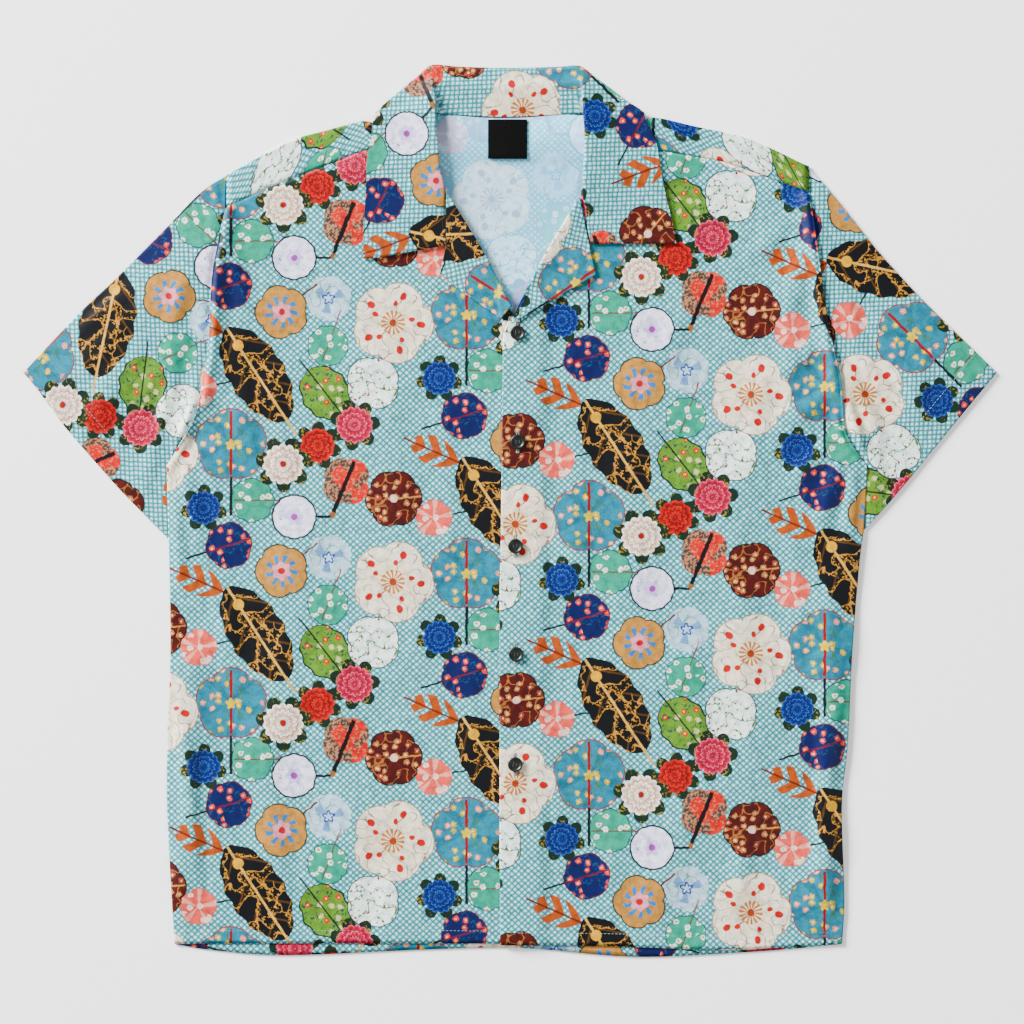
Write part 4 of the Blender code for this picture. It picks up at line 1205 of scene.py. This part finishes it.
def wrongSide(printed):  # the same cloth from behind, where the dye shows faintly
    settings = {"share": 0.56, "towards": "b8e6fc"}
    made = printed.copy()
    made.name = "print_wrong_side"
    tree = made.node_tree
    base = tree.nodes["Principled BSDF"].inputs["Base Color"]
    source = base.links[0].from_socket
    pale = tree.nodes.new("ShaderNodeMix")
    pale.data_type = "RGBA"
    pale.inputs[0].default_value = settings["share"]
    pale.inputs[7].default_value = tone(settings["towards"])
    tree.links.new(source, pale.inputs[6])
    tree.links.new(pale.outputs[2], base)
    return made


def objectPlace(g):  # in millimetres
    place = g.node("ShaderNodeTexCoord", {}, out="Object")
    return g.vector("MULTIPLY", place, (1 / mm, 1 / mm, 1 / mm))


def labelMaterial():  # black satin ribbon with fine ribs and a little dust
    g = Graph("label")
    place = objectPlace(g)
    ribs = g.dot(place, (0, 9, 0)).sin()
    cross = g.dot(place, (11, 0, 0)).sin()
    dust = g.noise(place, 1.4, 3.0)
    # lighter where the dust lies, a real tone, and on the ribs' crests, a painted highlight
    colour = g.mix(dust * 0.5 + ribs * 0.08, tone("030305"), tone("141519"))
    bump = g.node("ShaderNodeBump", {}, 0.6, 0.00006, Height=ribs + cross * 0.5 + dust)
    return g.finish(Base_Color=colour, Normal=bump, Roughness=0.55 + 0.1 * dust, Specular_IOR_Level=0.06)


def buttonMaterial():  # dark olive resin with a faint marbled streak
    g = Graph("button")
    place = objectPlace(g)
    swirl = g.noise(place, 0.22, 4.0, Distortion=1.2)
    streak = g.ramp((swirl - 0.5).size(), 0.0, 0.1, 1.0, 0.0)
    colour = g.mix(streak * 0.6, tone("1c2520"), tone("3d473d"))
    scuff = g.noise(place, 3.0, 2.0)
    bump = g.node("ShaderNodeBump", {}, 0.2, 0.0001, Height=scuff)
    return g.finish(Base_Color=colour, Normal=bump, Roughness=0.34 + 0.16 * scuff, Coat_Weight=0.06,
                    Coat_Roughness=0.25, Specular_IOR_Level=0.32)


def threadMaterial(name, colour):  # a twisted thread
    g = Graph(name)
    place = objectPlace(g)
    twist = g.dot(place, (9, 9, 4)).sin()
    fuzz = g.noise(place, 2.5, 2.0)
    dark = tuple(part * 0.55 for part in colour)
    # the thread is darker where the fuzz noise is low, a random tone, and in the twist's grooves, a painted
    # shade
    tint = g.mix(fuzz * 0.6 + twist * 0.2 + 0.2, (*dark, 1), (*colour, 1))
    bump = g.node("ShaderNodeBump", {}, 0.5, 0.00008, Height=twist + fuzz)
    return g.finish(Base_Color=tint, Normal=bump, Roughness=0.6, Sheen_Weight=0.2)


def carry(made):
    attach(made, "root")
    return made


rightSide = [printMaterial()]
bothSides = rightSide + [wrongSide(rightSide[0])]
print("materials built")
frontLeft = carry(makeFront("left", bothSides))
frontRight = carry(makeFront("right", bothSides))
print("fronts built")
back = carry(makeBack(bothSides))
sleeveLeft = carry(makeSleeve("left", bothSides))
sleeveRight = carry(makeSleeve("right", bothSides))
print("back and sleeves built")
collar = carry(makeCollar(rightSide))
lapelLeft = carry(makeLapel("left", rightSide))
lapelRight = carry(makeLapel("right", rightSide))
label = carry(makeLabel([labelMaterial()]))
resin = buttonMaterial()
for number, place in enumerate(buttonPlaces, 1):
    carry(makeButton(number, place, resin))
print("collar, lapels, label and buttons built")
seamThread = threadMaterial("seam_thread", (0.24, 0.40, 0.39))
# near-black thread for the buttons; the buttonhole slits use it too, as painted shade
darkThreadAndSlitShade = threadMaterial("dark_thread_and_slit_shade", (0.018, 0.02, 0.018))
bpy.context.view_layer.update()
carry(makeHemStitches(seamThread))
carry(makeCuffStitches("left", seamThread))
carry(makeCuffStitches("right", seamThread))
carry(makeButtonholes(threadMaterial("buttonhole_thread", (0.16, 0.24, 0.21))))
carry(makeSlitShade(darkThreadAndSlitShade))
carry(makeButtonThread(darkThreadAndSlitShade))
print("stitching built")


def makeStage():
    settings = {"floor": 4, "white": (0.94, 0.94, 0.94, 1), "world": 0.67}
    bm = bmesh.new()
    bmesh.ops.create_grid(bm, x_segments=1, y_segments=1, size=settings["floor"])
    paper = Graph("floor").finish(Base_Color=settings["white"], Roughness=0.9)
    floor = addObject("floor", bpy.data.meshes.new("floor"), bm, [paper])
    lamps = (("key_light", (-5.6, 4.2, 2.4), 2.6, 4000), ("fill_light", (3.8, -3.0, 5.6), 4.0, 225))
    for name, place, size, power in lamps:
        light = bpy.data.lights.new(name, "AREA")
        light.size, light.energy = size, power
        lamp = linked(name, light)
        lamp.location = place
        lamp.rotation_euler = (-Vector(place)).to_track_quat("-Z", "Y").to_euler()
    world = bpy.data.worlds.new("studio")
    world.use_nodes = True
    background = world.node_tree.nodes["Background"]
    background.inputs["Color"].default_value = (1, 1, 1, 1)
    background.inputs["Strength"].default_value = settings["world"]
    bpy.context.scene.world = world


def makeCamera():
    settings = {"height": 3.0, "frame": 0.8704, "x": 0.0017, "y": -0.0004, "sensor": 36}
    lens = bpy.data.cameras.new("camera")
    lens.sensor_width = settings["sensor"]
    lens.lens = settings["sensor"] * settings["height"] / settings["frame"]
    camera = linked("camera", lens)
    camera.location = (settings["x"], settings["y"], settings["height"])
    bpy.context.scene.camera = camera


makeStage()
makeCamera()
